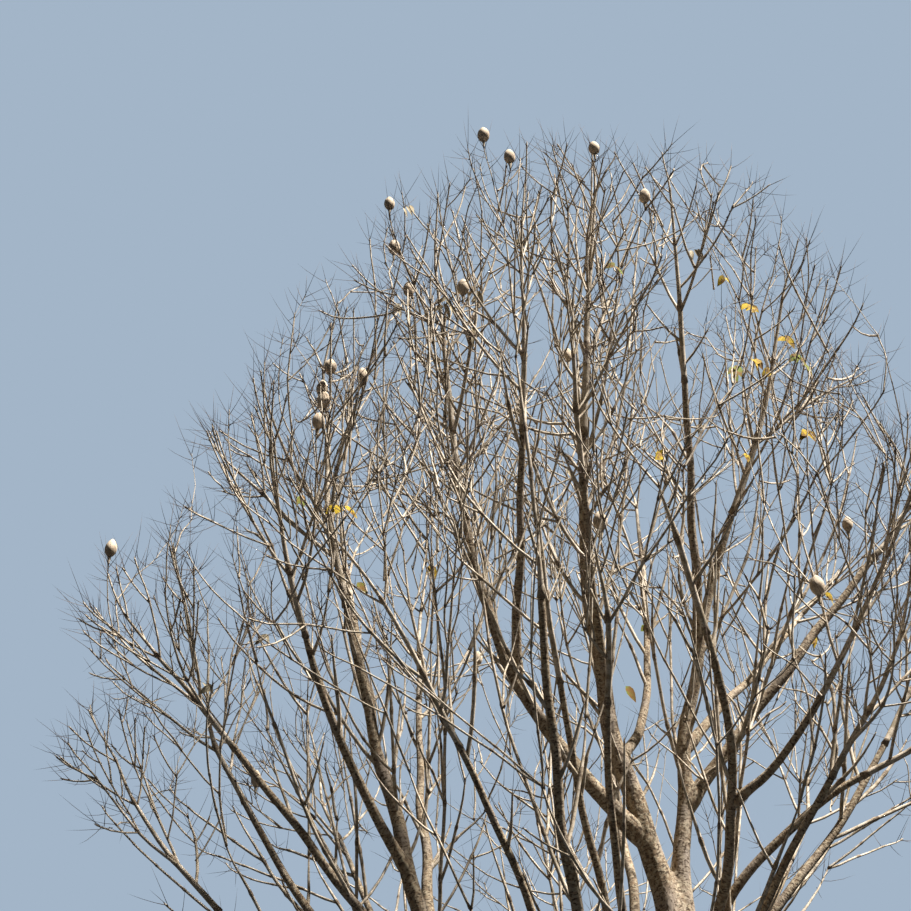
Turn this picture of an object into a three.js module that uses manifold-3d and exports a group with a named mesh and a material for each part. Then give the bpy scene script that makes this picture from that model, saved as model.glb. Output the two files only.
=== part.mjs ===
// Mahogany tree in its dry season: bare, upswept limbs that carry woody seed capsules.
// Millimetres, +Z up. The origin is the middle of the trunk's flat cut at ground level.
// +X is to the right and -Y is towards someone who looks at the tree from its front.
import * as THREE from 'three';
import { mergeVertices } from 'three/addons/utils/BufferGeometryUtils.js';
import Module from 'manifold-3d';

const wasm = await Module();
wasm.setup();

// Crown: a rounded cone over a shallow bowl, its middle line leaning a little to the right
const CROWN = {
  top: 11600, widest: 6350, bottom: 3200, radius: 3780, roundness: 0.41,
  front: 0.82, middleX: -250, lean: 0.1, leanFrom: 6000,
};

// Trunk: from the flat cut to the upper fork, swollen at its foot by five root lobes
const TRUNK = {
  bendX: -75, bendZ: 1950, topX: 760, topZ: 4550, footRadius: 200, topRadius: 128,
  flare: 0.55, flareHeight: 240, lobes: 5, lobeDepth: 0.3, sides: 20, rings: 11, ringCrowding: 1.8,
  crownRing: 0.62, crownFrom: 0.999,
};

// Limbs. Each leaves `on` at the share `at` of its length and would reach the crown's skin
// `spread` out in the direction `heading` (degrees from +X towards +Y) and `rise` up.
// `out` and `up` place the bend as shares of spread and rise, `veer` moves it sideways.
// `girth` and `tip` are the radii at the foot and where the mass of twigs takes over,
// which is the share `bare` of the way.
const LIMBS = [
  { name: 'centre_leader', on: 'trunk', at: 0.971, heading: -98, spread: 1450, rise: 6350,
    out: 0.21, up: 0.43, veer: -1140, girth: 102, tip: 34, bare: 0.64 },
  { name: 'right_leader', on: 'trunk', at: 0.959, heading: -25, spread: 2000, rise: 5600,
    out: -0.01, up: 0.57, veer: 190, girth: 78, tip: 31, bare: 0.58 },
  { name: 'left_stem', on: 'trunk', at: 0.28, heading: -169, spread: 2400, rise: 8650,
    out: 0.7, up: 0.5, veer: -840, girth: 126, tip: 32, bare: 0.68 },
  { name: 'back_left_bough', on: 'centre_leader', at: 0.2, heading: -151, spread: 1250, rise: 5350,
    out: 1.65, up: 0.27, veer: -380, girth: 68, tip: 31, bare: 0.56 },
  { name: 'right_bough', on: 'right_leader', at: 0.276, heading: 0, spread: 2600, rise: 3150,
    out: 0.61, up: 0.62, veer: -60, girth: 54, tip: 27, bare: 0.62 },
  { name: 'right_crest', on: 'right_leader', at: 0.66, heading: -94, spread: 1400, rise: 4250,
    out: 0.59, up: 0.45, veer: 0, girth: 42, tip: 25, bare: 0.5 },
  { name: 'back_right_bough', on: 'right_leader', at: 0.42, heading: 42, spread: 2500, rise: 2500,
    out: 0.62, up: 0.58, veer: -160, girth: 40, tip: 24, bare: 0.5 },
  { name: 'front_leader', on: 'centre_leader', at: 0.5, heading: -100, spread: 1800, rise: 2900,
    out: 0.6, up: 0.42, veer: 0, girth: 42, tip: 25, bare: 0.5 },
  { name: 'back_centre_bough', on: 'centre_leader', at: 0.36, heading: 79, spread: 2100, rise: 4700,
    out: 0.65, up: 0.15, veer: -420, girth: 46, tip: 26, bare: 0.55 },
  { name: 'front_left_leader', on: 'back_left_bough', at: 0.55, heading: -86, spread: 1600,
    rise: 3600, out: 0.6, up: 0.42, veer: 0, girth: 40, tip: 25, bare: 0.5 },
  { name: 'front_bough', on: 'trunk', at: 0.609, heading: -103, spread: 2600, rise: 5650,
    out: 0.77, up: 0.47, veer: -400, girth: 58, tip: 26, bare: 0.64 },
  { name: 'front_right_fork', on: 'trunk', at: 0.878, heading: -109, spread: 2750, rise: 3950,
    out: 0.4, up: 0.34, veer: 1500, girth: 46, tip: 26, bare: 0.6 },
  { name: 'front_right_bough', on: 'front_right_fork', at: 0.6, heading: -42, spread: 1550,
    rise: 2300, out: 0.54, up: 0.14, veer: 240, girth: 34, tip: 23, bare: 0.42 },
  { name: 'right_low_bough', on: 'trunk', at: 0.829, heading: -16, spread: 3100, rise: 1950,
    out: 0.31, up: 1.08, veer: -220, girth: 47, tip: 25, bare: 0.6 },
  { name: 'front_right_low', on: 'trunk', at: 0.693, heading: -47, spread: 3100, rise: 3350,
    out: 0.41, up: 0.58, veer: 260, girth: 42, tip: 24, bare: 0.6 },
  { name: 'far_right_bough', on: 'trunk', at: 0.86, heading: 5, spread: 2700, rise: 3800,
    out: 0.68, up: 0.38, veer: -40, girth: 46, tip: 24, bare: 0.6 },
  { name: 'back_bough', on: 'trunk', at: 0.814, heading: 92, spread: 2800, rise: 5200,
    out: 0.6, up: 0.42, veer: 0, girth: 56, tip: 27, bare: 0.62 },
  { name: 'back_right_low', on: 'trunk', at: 0.758, heading: 47, spread: 3300, rise: 3700,
    out: 0.6, up: 0.42, veer: 0, girth: 50, tip: 25, bare: 0.6 },
  { name: 'back_low_bough', on: 'trunk', at: 0.665, heading: 97, spread: 3500, rise: 3200,
    out: 0.6, up: 0.42, veer: 0, girth: 46, tip: 24, bare: 0.6 },
  { name: 'left_back_bough', on: 'left_stem', at: 0.52, heading: 94, spread: 2300, rise: 4600,
    out: 0.59, up: 0.5, veer: 200, girth: 52, tip: 26, bare: 0.58 },
  { name: 'left_crest', on: 'left_stem', at: 0.74, heading: 120, spread: 1300, rise: 3700,
    out: 0.6, up: 0.45, veer: 0, girth: 42, tip: 25, bare: 0.5 },
  { name: 'left_front_bough', on: 'left_stem', at: 0.64, heading: -118, spread: 2050, rise: 3050,
    out: 0.75, up: 0.38, veer: -300, girth: 44, tip: 24, bare: 0.52 },
  { name: 'left_low_front', on: 'left_stem', at: 0.43, heading: -151, spread: 3050, rise: 2950,
    out: 0.52, up: 0.64, veer: -310, girth: 44, tip: 24, bare: 0.58 },
  { name: 'far_left_bough', on: 'left_stem', at: 0.33, heading: 177, spread: 2650, rise: 4100,
    out: 0.73, up: 0.47, veer: -120, girth: 46, tip: 24, bare: 0.6 },
  { name: 'lowest_left_bough', on: 'left_stem', at: 0.26, heading: -166, spread: 3300, rise: 3050,
    out: 0.57, up: 0.5, veer: -340, girth: 38, tip: 23, bare: 0.6 },
  { name: 'back_left_low', on: 'left_stem', at: 0.38, heading: 122, spread: 2900, rise: 3500,
    out: 0.6, up: 0.42, veer: 0, girth: 48, tip: 24, bare: 0.6 },
  { name: 'front_left_slender', on: 'trunk', at: 0.543, heading: -130, spread: 3300, rise: 4200,
    out: 0.3, up: 0.7, veer: 0, girth: 42, tip: 23, bare: 0.62 },
  { name: 'front_left_upper', on: 'trunk', at: 0.767, heading: -109, spread: 2750, rise: 4100,
    out: 0.23, up: 0.51, veer: -480, girth: 38, tip: 23, bare: 0.6 },
  { name: 'front_centre_bough', on: 'trunk', at: 0.795, heading: -94, spread: 2650, rise: 3750,
    out: 0.61, up: 0.39, veer: -590, girth: 38, tip: 23, bare: 0.58 },
];
// A limb's tube: how its girth falls off, and how finely it is divided along and round
const TUBE = {
  taperPower: 0.85, stepLength: 650, fewestSteps: 5, thickGirth: 80, thickSides: 8, thinSides: 6,
};
const COLLAR = { swell: 0.22, length: 110 };
const GAP = 0.3;
const MERGE = { limbs: 0.05, twigs: 1 };

// Twigs. A mass starts as one stem that carries on from its limb, and every shoot ends in a
// whorl: a lead shoot that runs nearly straight on and side shoots that stand out from it.
// `share` is each order's length as a share of the reach, from a limb's tip to the skin.
// Side shoots start a few radii below the whorl, `setBack` and then `setBackStep` each.
const TWIG = {
  share: [0.29, 0.27, 0.24, 0.22], whorl: [3, 3, 2], lateralAt: 0.52, lateralChance: [1, 0.5, 0],
  leadTilt: 8, sideTilt: 34, lateralTilt: 43, tiltSpread: 8, turnSpread: 0.5, lift: 0.12,
  lengthSpread: 0.15, leadThinning: 0.85, sideThinning: 0.7, lateralThinning: 0.62, taper: 0.8,
  thinnest: 7, setBack: 2.6, setBackStep: 0.3, stemSides: 5, shootSides: 3,
  shortenings: [1, 0.78, 0.56], limbClearance: 15, spaceClearance: 12, probes: 5, seedStep: 977,
};

// Seed capsules: upright woody ovoids on short stalks, at these places in the crown (x, y, z)
const CAPSULE = {
  radius: 47, height: 158, around: 6, rings: 5, stalk: 70, stalkRadius: 8, longestShoot: 600,
  shootAt: 0.85,
};
const CAPSULE_PLACES = [
  [-0.72, -1.6, 10.7], [-0.5, -1.6, 10.45], [0.23, -1.5, 10.65], [-1.52, -1.3, 10.2],
  [-1.48, -1.2, 9.8], [-1.35, -1, 9.5], [-0.9, -1.6, 9.05], [-1.75, -0.5, 8.95],
  [-1.95, -1.3, 8.5], [-2.02, -1.2, 8.35], [-1.98, -1.4, 8.1], [-2, -1.5, 7.85],
  [-3.78, -0.2, 7.45], [-2.7, 1.6, 6.15], [0.62, -1.5, 10.1], [1.55, -1.7, 6.35],
  [0.05, -1.9, 6.75], [-0.75, 2.3, 7.6], [2.6, 0.9, 8.3], [0.4, 2.4, 9], [0.1, 0.5, 9.9],
];

// Colours and surfaces
const BARK = { color: '#8d7d6b', roughness: 0.9, metalness: 0 };
const SHOOT = { color: '#a08f79', roughness: 0.85, metalness: 0 };

const UP = new THREE.Vector3(0, 0, 1);
const NEARLY_UPRIGHT = 0.98;
const LINE_PIECES = 12;
const METRE = 1000;
const radians = THREE.MathUtils.degToRad;

// Chance: numbers from 0 to 1 that depend only on a shoot's own seed
function mix(seed, salt) {
  let h = Math.imul(seed ^ Math.imul(salt + 1, 0x9e3779b1), 0x85ebca6b);
  h ^= h >>> 13;
  h = Math.imul(h, 0xc2b2ae35);
  return (h ^ (h >>> 16)) >>> 0;
}
const chance = (seed, salt) => mix(seed, salt) / 4294967296;
const around = (seed, salt, middle, share) => middle * (1 + share * (2 * chance(seed, salt) - 1));

// Paths: a quadratic curve from a foot through a bend to an end
function pathPoint(path, t) {
  const s = 1 - t;
  return new THREE.Vector3()
    .addScaledVector(path.foot, s * s)
    .addScaledVector(path.bend, 2 * s * t)
    .addScaledVector(path.end, t * t);
}
function pathDirection(path, t) {
  return new THREE.Vector3()
    .addScaledVector(path.foot, t - 1)
    .addScaledVector(path.bend, 1 - 2 * t)
    .addScaledVector(path.end, t)
    .normalize();
}

// Where a point lies: inside the crown's skin, and how far from a straight line
function insideCrown(p) {
  if (p.z <= CROWN.bottom || p.z >= CROWN.top) return false;
  const above = (p.z - CROWN.widest) / (CROWN.top - CROWN.widest);
  const below = (CROWN.widest - p.z) / (CROWN.widest - CROWN.bottom);
  const radius = above > 0
    ? CROWN.radius * Math.pow(1 - above, CROWN.roundness)
    : CROWN.radius * Math.sqrt(1 - below * below);
  const x = p.x - CROWN.middleX - CROWN.lean * (p.z - CROWN.leanFrom);
  return Math.hypot(x, p.y / (p.y < 0 ? CROWN.front : 1)) < radius;
}
function distanceToLine(p, a, b) {
  const along = new THREE.Vector3().subVectors(b, a);
  const from = new THREE.Vector3().subVectors(p, a);
  const t = Math.min(1, Math.max(0, from.dot(along) / along.lengthSq()));
  return from.addScaledVector(along, -t).length();
}

// Solids: closed triangle meshes, joined and cut
function solidOf(geometry) {
  geometry.deleteAttribute('normal');
  geometry.deleteAttribute('uv');
  const merged = mergeVertices(geometry, 1e-5);
  return new wasm.Manifold(new wasm.Mesh({
    numProp: 3,
    vertProperties: new Float32Array(merged.attributes.position.array),
    triVerts: new Uint32Array(merged.index.array),
  }));
}
function largestPiece(solid) {
  return solid.decompose().reduce((best, piece) => (piece.volume() > best.volume() ? piece : best));
}
function namedMesh(name, solid, look) {
  const { vertProperties, triVerts } = solid.getMesh();
  const geometry = new THREE.BufferGeometry();
  geometry.setAttribute('position', new THREE.BufferAttribute(vertProperties, 3));
  geometry.setIndex(new THREE.BufferAttribute(triVerts, 1));
  geometry.computeVertexNormals();
  const mesh = new THREE.Mesh(geometry, new THREE.MeshStandardMaterial(look));
  mesh.name = name;
  return mesh;
}

// Trunk: level rings that follow its lean, with lobes that fade upwards
const trunkPath = {
  foot: new THREE.Vector3(0, 0, 0),
  bend: new THREE.Vector3(TRUNK.bendX, 0, TRUNK.bendZ),
  end: new THREE.Vector3(TRUNK.topX, 0, TRUNK.topZ),
};
function trunkRadius(t, angle, height) {
  const fade = Math.exp(-height / TRUNK.flareHeight);
  const lobe = 1 + TRUNK.lobeDepth * Math.cos(TRUNK.lobes * angle);
  const plain = TRUNK.footRadius + (TRUNK.topRadius - TRUNK.footRadius) * t;
  return plain * (1 + TRUNK.flare * fade * lobe) * (t > TRUNK.crownFrom ? TRUNK.crownRing : 1);
}
function trunkSolid(swell) {
  const geometry = new THREE.CylinderGeometry(1, 1, 1, TRUNK.sides, TRUNK.rings);
  const position = geometry.attributes.position;
  for (let i = 0; i < position.count; i += 1) {
    const [x, y, z] = [position.getX(i), position.getY(i) + 0.5, -position.getZ(i)];
    const t = Math.pow(y, TRUNK.ringCrowding);
    const middle = pathPoint(trunkPath, t);
    const across = Math.hypot(x, z);
    const angle = Math.atan2(z, x);
    const radius = across > 0.5 ? trunkRadius(t, angle, middle.z) + swell : 0;
    const height = middle.z + (t > TRUNK.crownFrom ? swell : 0);
    position.setXYZ(i, middle.x + radius * Math.cos(angle), middle.y + radius * Math.sin(angle), height);
  }
  return solidOf(geometry);
}

// Limbs: each is one tapering tube along its path, with a collar where it leaves its parent
const paths = { trunk: { ...trunkPath, reachShare: 1 } };
for (const limb of LIMBS) {
  const parent = paths[limb.on];
  const foot = pathPoint(parent, limb.at * parent.reachShare);
  const heading = radians(limb.heading);
  const ahead = new THREE.Vector3(Math.cos(heading), Math.sin(heading), 0);
  const aside = new THREE.Vector3(-ahead.y, ahead.x, 0);
  const end = foot.clone().addScaledVector(ahead, limb.spread).addScaledVector(UP, limb.rise);
  const bend = foot.clone()
    .addScaledVector(ahead, limb.spread * limb.out)
    .addScaledVector(aside, limb.veer)
    .addScaledVector(UP, limb.rise * limb.up);
  paths[limb.name] = { foot, bend, end, reachShare: limb.bare, limb };
}
function limbRadius(limb, t) {
  const share = t / limb.bare;
  return limb.girth + (limb.tip - limb.girth) * Math.pow(share, TUBE.taperPower);
}
function limbSolid(path, swell) {
  const limb = path.limb;
  const length = path.foot.distanceTo(path.end) * limb.bare;
  const sides = limb.girth > TUBE.thickGirth ? TUBE.thickSides : TUBE.thinSides;
  const steps = Math.max(TUBE.fewestSteps, Math.round(length / TUBE.stepLength));
  const geometry = new THREE.CylinderGeometry(1, 1, 1, sides, steps);
  const position = geometry.attributes.position;
  const side = new THREE.Vector3()
    .crossVectors(path.bend.clone().sub(path.foot), path.end.clone().sub(path.foot))
    .normalize();
  for (let i = 0; i < position.count; i += 1) {
    const t = (position.getY(i) + 0.5) * limb.bare;
    const forward = pathDirection(path, t);
    const normal = new THREE.Vector3().crossVectors(side, forward);
    const collar = 1 + COLLAR.swell * Math.exp((-t * length) / limb.bare / COLLAR.length);
    const radius = limbRadius(limb, t) * collar + swell;
    const p = pathPoint(path, t)
      .addScaledVector(normal, position.getX(i) * radius)
      .addScaledVector(side, -position.getZ(i) * radius);
    position.setXYZ(i, p.x, p.y, p.z);
  }
  return solidOf(geometry);
}

// Masses: where each starts, the straight line it keeps closest to, and its reach
const masses = LIMBS.map((limb, index) => {
  const path = paths[limb.name];
  const tip = pathPoint(path, limb.bare);
  return {
    name: `${limb.name}_twigs`, limb, tip, end: path.end, seed: (index + 1) * TWIG.seedStep,
    forward: pathDirection(path, limb.bare), reach: tip.distanceTo(path.end), chains: [],
    capsules: [],
  };
});
const limbLines = Object.values(paths).flatMap((path) => {
  const limb = path.limb;
  return Array.from({ length: LINE_PIECES }, (_, k) => {
    const from = (k / LINE_PIECES) * path.reachShare;
    const to = ((k + 1) / LINE_PIECES) * path.reachShare;
    const radius = limb ? limbRadius(limb, from) : TRUNK.footRadius;
    return { a: pathPoint(path, from), b: pathPoint(path, to), radius };
  });
});
function hasRoom(mass, from, to, radius, order) {
  for (let k = 1; k <= TWIG.probes; k += 1) {
    const p = new THREE.Vector3().lerpVectors(from, to, k / TWIG.probes);
    if (!insideCrown(p)) return false;
    const own = distanceToLine(p, mass.tip, mass.end);
    const tooNear = 2 * (radius + TWIG.spaceClearance);
    for (const other of masses) {
      if (other !== mass && distanceToLine(p, other.tip, other.end) - own < tooNear) return false;
    }
    if (order === 0) continue;
    for (const line of limbLines) {
      const gap = distanceToLine(p, line.a, line.b) - line.radius - radius;
      if (gap < TWIG.limbClearance) return false;
    }
  }
  return true;
}
function turned(direction, tilt, azimuth) {
  const flat = Math.abs(direction.z) > NEARLY_UPRIGHT ? new THREE.Vector3(1, 0, 0) : UP;
  const across = new THREE.Vector3().crossVectors(direction, flat).normalize();
  const over = new THREE.Vector3().crossVectors(direction, across);
  return direction.clone().multiplyScalar(Math.cos(tilt))
    .addScaledVector(across, Math.sin(tilt) * Math.cos(azimuth))
    .addScaledVector(over, Math.sin(tilt) * Math.sin(azimuth))
    .addScaledVector(UP, TWIG.lift)
    .normalize();
}
// A chain is the shoots that follow each other as leads, and becomes one tapering rod
function newChain(mass, order) {
  const chain = { order, knots: [] };
  mass.chains.push(chain);
  return chain;
}
function grow(mass, shoot) {
  const { from, direction, radius, order, seed, chain } = shoot;
  const fit = TWIG.shortenings.find((share) => {
    const to = from.clone().addScaledVector(direction, shoot.length * share);
    return hasRoom(mass, from, to, radius, order);
  });
  if (fit === undefined && order > 0) return;
  const to = from.clone().addScaledVector(direction, shoot.length * (fit ?? 1));
  const endRadius = Math.max(radius * TWIG.taper, TWIG.thinnest);
  if (chain.knots.length === 0) chain.knots.push({ at: from, radius });
  chain.knots.push({ at: to, radius: endRadius });
  if (order === TWIG.share.length - 1) return;
  const nextLength = mass.reach * TWIG.share[order + 1];
  const phase = 2 * Math.PI * chance(seed, 1);
  const sides = TWIG.whorl[order] - 1;
  for (let k = 0; k <= sides; k += 1) {
    const isLead = k === 0;
    const tilt = isLead ? TWIG.leadTilt : TWIG.sideTilt;
    const thinning = isLead ? TWIG.leadThinning : TWIG.sideThinning;
    const spread = TWIG.tiltSpread * (2 * chance(seed, 10 + k) - 1);
    const turn = phase + (2 * Math.PI * k) / Math.max(1, sides);
    const azimuth = turn + TWIG.turnSpread * chance(seed, 20 + k);
    const setBack = isLead ? 0 : (TWIG.setBack + TWIG.setBackStep * k) * endRadius;
    grow(mass, {
      from: to.clone().addScaledVector(direction, -setBack),
      direction: turned(direction, radians(tilt + spread), azimuth),
      length: around(seed, 30 + k, nextLength, TWIG.lengthSpread),
      radius: Math.max(endRadius * thinning, TWIG.thinnest),
      order: order + 1,
      seed: mix(seed, 40 + k),
      chain: isLead ? chain : newChain(mass, order + 1),
    });
  }
  if (chance(seed, 54) > TWIG.lateralChance[order]) return;
  const radiusThere = radius + (endRadius - radius) * TWIG.lateralAt;
  const tilt = TWIG.lateralTilt + TWIG.tiltSpread * (2 * chance(seed, 50) - 1);
  grow(mass, {
    from: from.clone().lerp(to, TWIG.lateralAt),
    direction: turned(direction, radians(tilt), phase + Math.PI * chance(seed, 51)),
    length: around(seed, 52, nextLength, TWIG.lengthSpread),
    radius: Math.max(radiusThere * TWIG.lateralThinning, TWIG.thinnest),
    order: order + 1,
    seed: mix(seed, 53),
    chain: newChain(mass, order + 1),
  });
}
for (const mass of masses) {
  grow(mass, {
    from: mass.tip.clone().addScaledVector(mass.forward, GAP), direction: mass.forward,
    length: mass.reach * TWIG.share[0], radius: mass.limb.tip, order: 0, seed: mass.seed,
    chain: newChain(mass, 0),
  });
}

// Capsules: each belongs to the mass nearest to its place, and a shoot carries it there from
// near the closest shoot end of that mass
function nearest(list, measure) {
  return list.reduce((best, item) => (measure(item) < measure(best) ? item : best));
}
for (const place of CAPSULE_PLACES) {
  const wanted = new THREE.Vector3(...place).multiplyScalar(METRE);
  const mass = nearest(masses, (m) => distanceToLine(wanted, m.tip, m.end));
  const shoots = mass.chains.flatMap(({ knots }) => (
    knots.slice(1).map((knot, k) => ({ from: knots[k].at, to: knot.at }))
  ));
  const below = wanted.clone().addScaledVector(UP, -CAPSULE.height / 2 - CAPSULE.stalk);
  const shoot = nearest(shoots, ({ to }) => to.distanceTo(below));
  const start = shoot.from.clone().lerp(shoot.to, CAPSULE.shootAt);
  const foot = below.sub(start).clampLength(0, CAPSULE.longestShoot).add(start);
  mass.capsules.push({ start, foot });
}

// A rod tapers along its knots and ends in a point
function rodSolid(knots, sides) {
  const points = knots.map((knot) => knot.at);
  const last = points.length - 1;
  const geometry = new THREE.CylinderGeometry(0, 1, 1, sides, last);
  const position = geometry.attributes.position;
  const forwards = points.map((_, k) => new THREE.Vector3()
    .subVectors(points[Math.min(k + 1, last)], points[Math.max(k - 1, 0)])
    .normalize());
  const across = new THREE.Vector3(1, 0, 0).cross(forwards[0]).normalize();
  for (let i = 0; i < position.count; i += 1) {
    const k = Math.round((position.getY(i) + 0.5) * last);
    const [x, z] = [position.getX(i), position.getZ(i)];
    const spread = Math.hypot(x, z);
    const radius = spread > 0 ? knots[k].radius / spread : 0;
    const over = new THREE.Vector3().crossVectors(across, forwards[k]).normalize();
    const side = new THREE.Vector3().crossVectors(forwards[k], over);
    const p = points[k].clone().addScaledVector(side, x * radius).addScaledVector(over, z * radius);
    position.setXYZ(i, p.x, p.y, p.z);
  }
  return solidOf(geometry);
}
function capsuleSolids({ start, foot }) {
  const middle = foot.clone().addScaledVector(UP, CAPSULE.stalk + CAPSULE.height / 2);
  const ovoid = new THREE.SphereGeometry(1, CAPSULE.around, CAPSULE.rings);
  ovoid.rotateX(Math.PI / 2);
  ovoid.scale(CAPSULE.radius, CAPSULE.radius, CAPSULE.height / 2);
  ovoid.translate(middle.x, middle.y, middle.z);
  const stalk = [start, foot, foot.clone().addScaledVector(UP, CAPSULE.stalk + CAPSULE.radius)];
  const knots = stalk.map((at) => ({ at, radius: CAPSULE.stalkRadius }));
  return [solidOf(ovoid), rodSolid(knots, TWIG.shootSides)];
}
function massSolid(mass) {
  const grown = mass.chains.filter(({ knots }) => knots.length > 0);
  const rods = grown.map(({ order, knots }) => (
    rodSolid(knots, order === 0 ? TWIG.stemSides : TWIG.shootSides)
  ));
  const capsules = mass.capsules.flatMap(capsuleSolids);
  const joined = wasm.Manifold.union([...rods, ...capsules]);
  return largestPiece(joined.asOriginal().simplify(MERGE.twigs));
}

// The tree
const tree = new THREE.Group();
tree.add(namedMesh('trunk', trunkSolid(0), BARK));
const standing = [trunkSolid(GAP)];
for (const limb of LIMBS) {
  const path = paths[limb.name];
  const cut = standing.reduce((solid, swollen) => solid.subtract(swollen), limbSolid(path, 0));
  tree.add(namedMesh(limb.name, largestPiece(cut).asOriginal().simplify(MERGE.limbs), BARK));
  standing.push(limbSolid(path, GAP));
}
for (const mass of masses) {
  tree.add(namedMesh(mass.name, massSolid(mass), SHOOT));
}

export default tree;
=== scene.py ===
"""Mahogany tree in its dry season: bark, shoots, leaf stalks, seed capsules and last leaflets.

Metres and degrees, +Z up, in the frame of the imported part. The limbs and the shoots follow the
rule of the part's source, carried on to finer shoots. Run as a script, it builds the whole scene.
"""
import functools
import math
from typing import NamedTuple

import bpy
import numpy as np
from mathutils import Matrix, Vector, kdtree, noise


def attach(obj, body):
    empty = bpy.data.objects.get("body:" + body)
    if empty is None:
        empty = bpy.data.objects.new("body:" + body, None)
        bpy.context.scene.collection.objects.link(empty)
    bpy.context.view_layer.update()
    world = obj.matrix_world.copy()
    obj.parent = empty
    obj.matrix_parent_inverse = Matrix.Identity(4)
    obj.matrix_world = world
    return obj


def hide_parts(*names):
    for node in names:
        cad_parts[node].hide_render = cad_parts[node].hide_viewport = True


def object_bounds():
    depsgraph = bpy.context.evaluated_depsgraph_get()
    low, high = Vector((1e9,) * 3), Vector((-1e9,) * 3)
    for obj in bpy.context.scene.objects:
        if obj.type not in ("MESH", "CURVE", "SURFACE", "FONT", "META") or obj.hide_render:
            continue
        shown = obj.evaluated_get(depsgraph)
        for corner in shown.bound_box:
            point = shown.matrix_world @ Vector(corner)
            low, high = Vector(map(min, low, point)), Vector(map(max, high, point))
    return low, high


bl_info = {
    "name": "Mahogany Tree",
    "version": (1, 0, 0),
    "blender": (4, 5, 0),
    "location": "View3D > Sidebar > Mahogany Tree",
    "description": "Builds a bare mahogany tree with seed capsules around its packed model",
    "category": "Add Mesh",
}

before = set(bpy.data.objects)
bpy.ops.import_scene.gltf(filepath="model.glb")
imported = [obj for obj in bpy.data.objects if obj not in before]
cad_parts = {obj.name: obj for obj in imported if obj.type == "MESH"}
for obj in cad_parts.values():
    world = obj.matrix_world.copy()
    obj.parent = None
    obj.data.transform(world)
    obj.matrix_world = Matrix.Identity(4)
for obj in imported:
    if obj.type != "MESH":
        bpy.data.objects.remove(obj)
CAD_LOW, CAD_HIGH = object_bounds()
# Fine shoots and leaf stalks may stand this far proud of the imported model's box
PROUD = np.array([0.16, 0.14, 0.27])
SIZE_LOW = np.array(CAD_LOW) - PROUD
SIZE_HIGH = np.array(CAD_HIGH) + PROUD

UP = np.array([0.0, 0.0, 1.0])
TURN = 2 * math.pi
GOLDEN_TURN = TURN * 0.381966


# The crown's skin: a rounded cone over a shallow bowl, its middle line leaning to the right
class Crown(NamedTuple):
    top: float = 11.6
    widest: float = 6.35
    bottom: float = 3.2
    radius: float = 3.78
    roundness: float = 0.41
    front: float = 0.82
    middle_x: float = -0.25
    lean: float = 0.1
    lean_from: float = 6.0


# The trunk: from the flat cut to the upper fork, swollen at its foot by root lobes
class Trunk(NamedTuple):
    bend: tuple = (-0.075, 0.0, 1.95)
    top: tuple = (0.76, 0.0, 4.55)
    foot_radius: float = 0.2
    top_radius: float = 0.128
    flare: float = 0.55
    flare_height: float = 0.24
    lobes: int = 5
    lobe_depth: float = 0.3


# A limb leaves its parent at the share `at` and would reach the skin `spread` out in the
# direction `heading` and `rise` up. `out`, `up` and `veer` place its bend, `girth` and `tip`
# are its radii, and `bare` is the share of the way where its twigs take over.
class Limb(NamedTuple):
    name: str
    on: str
    at: float
    heading: float
    spread: float
    rise: float
    out: float
    up: float
    veer: float
    girth: float
    tip: float
    bare: float


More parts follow.
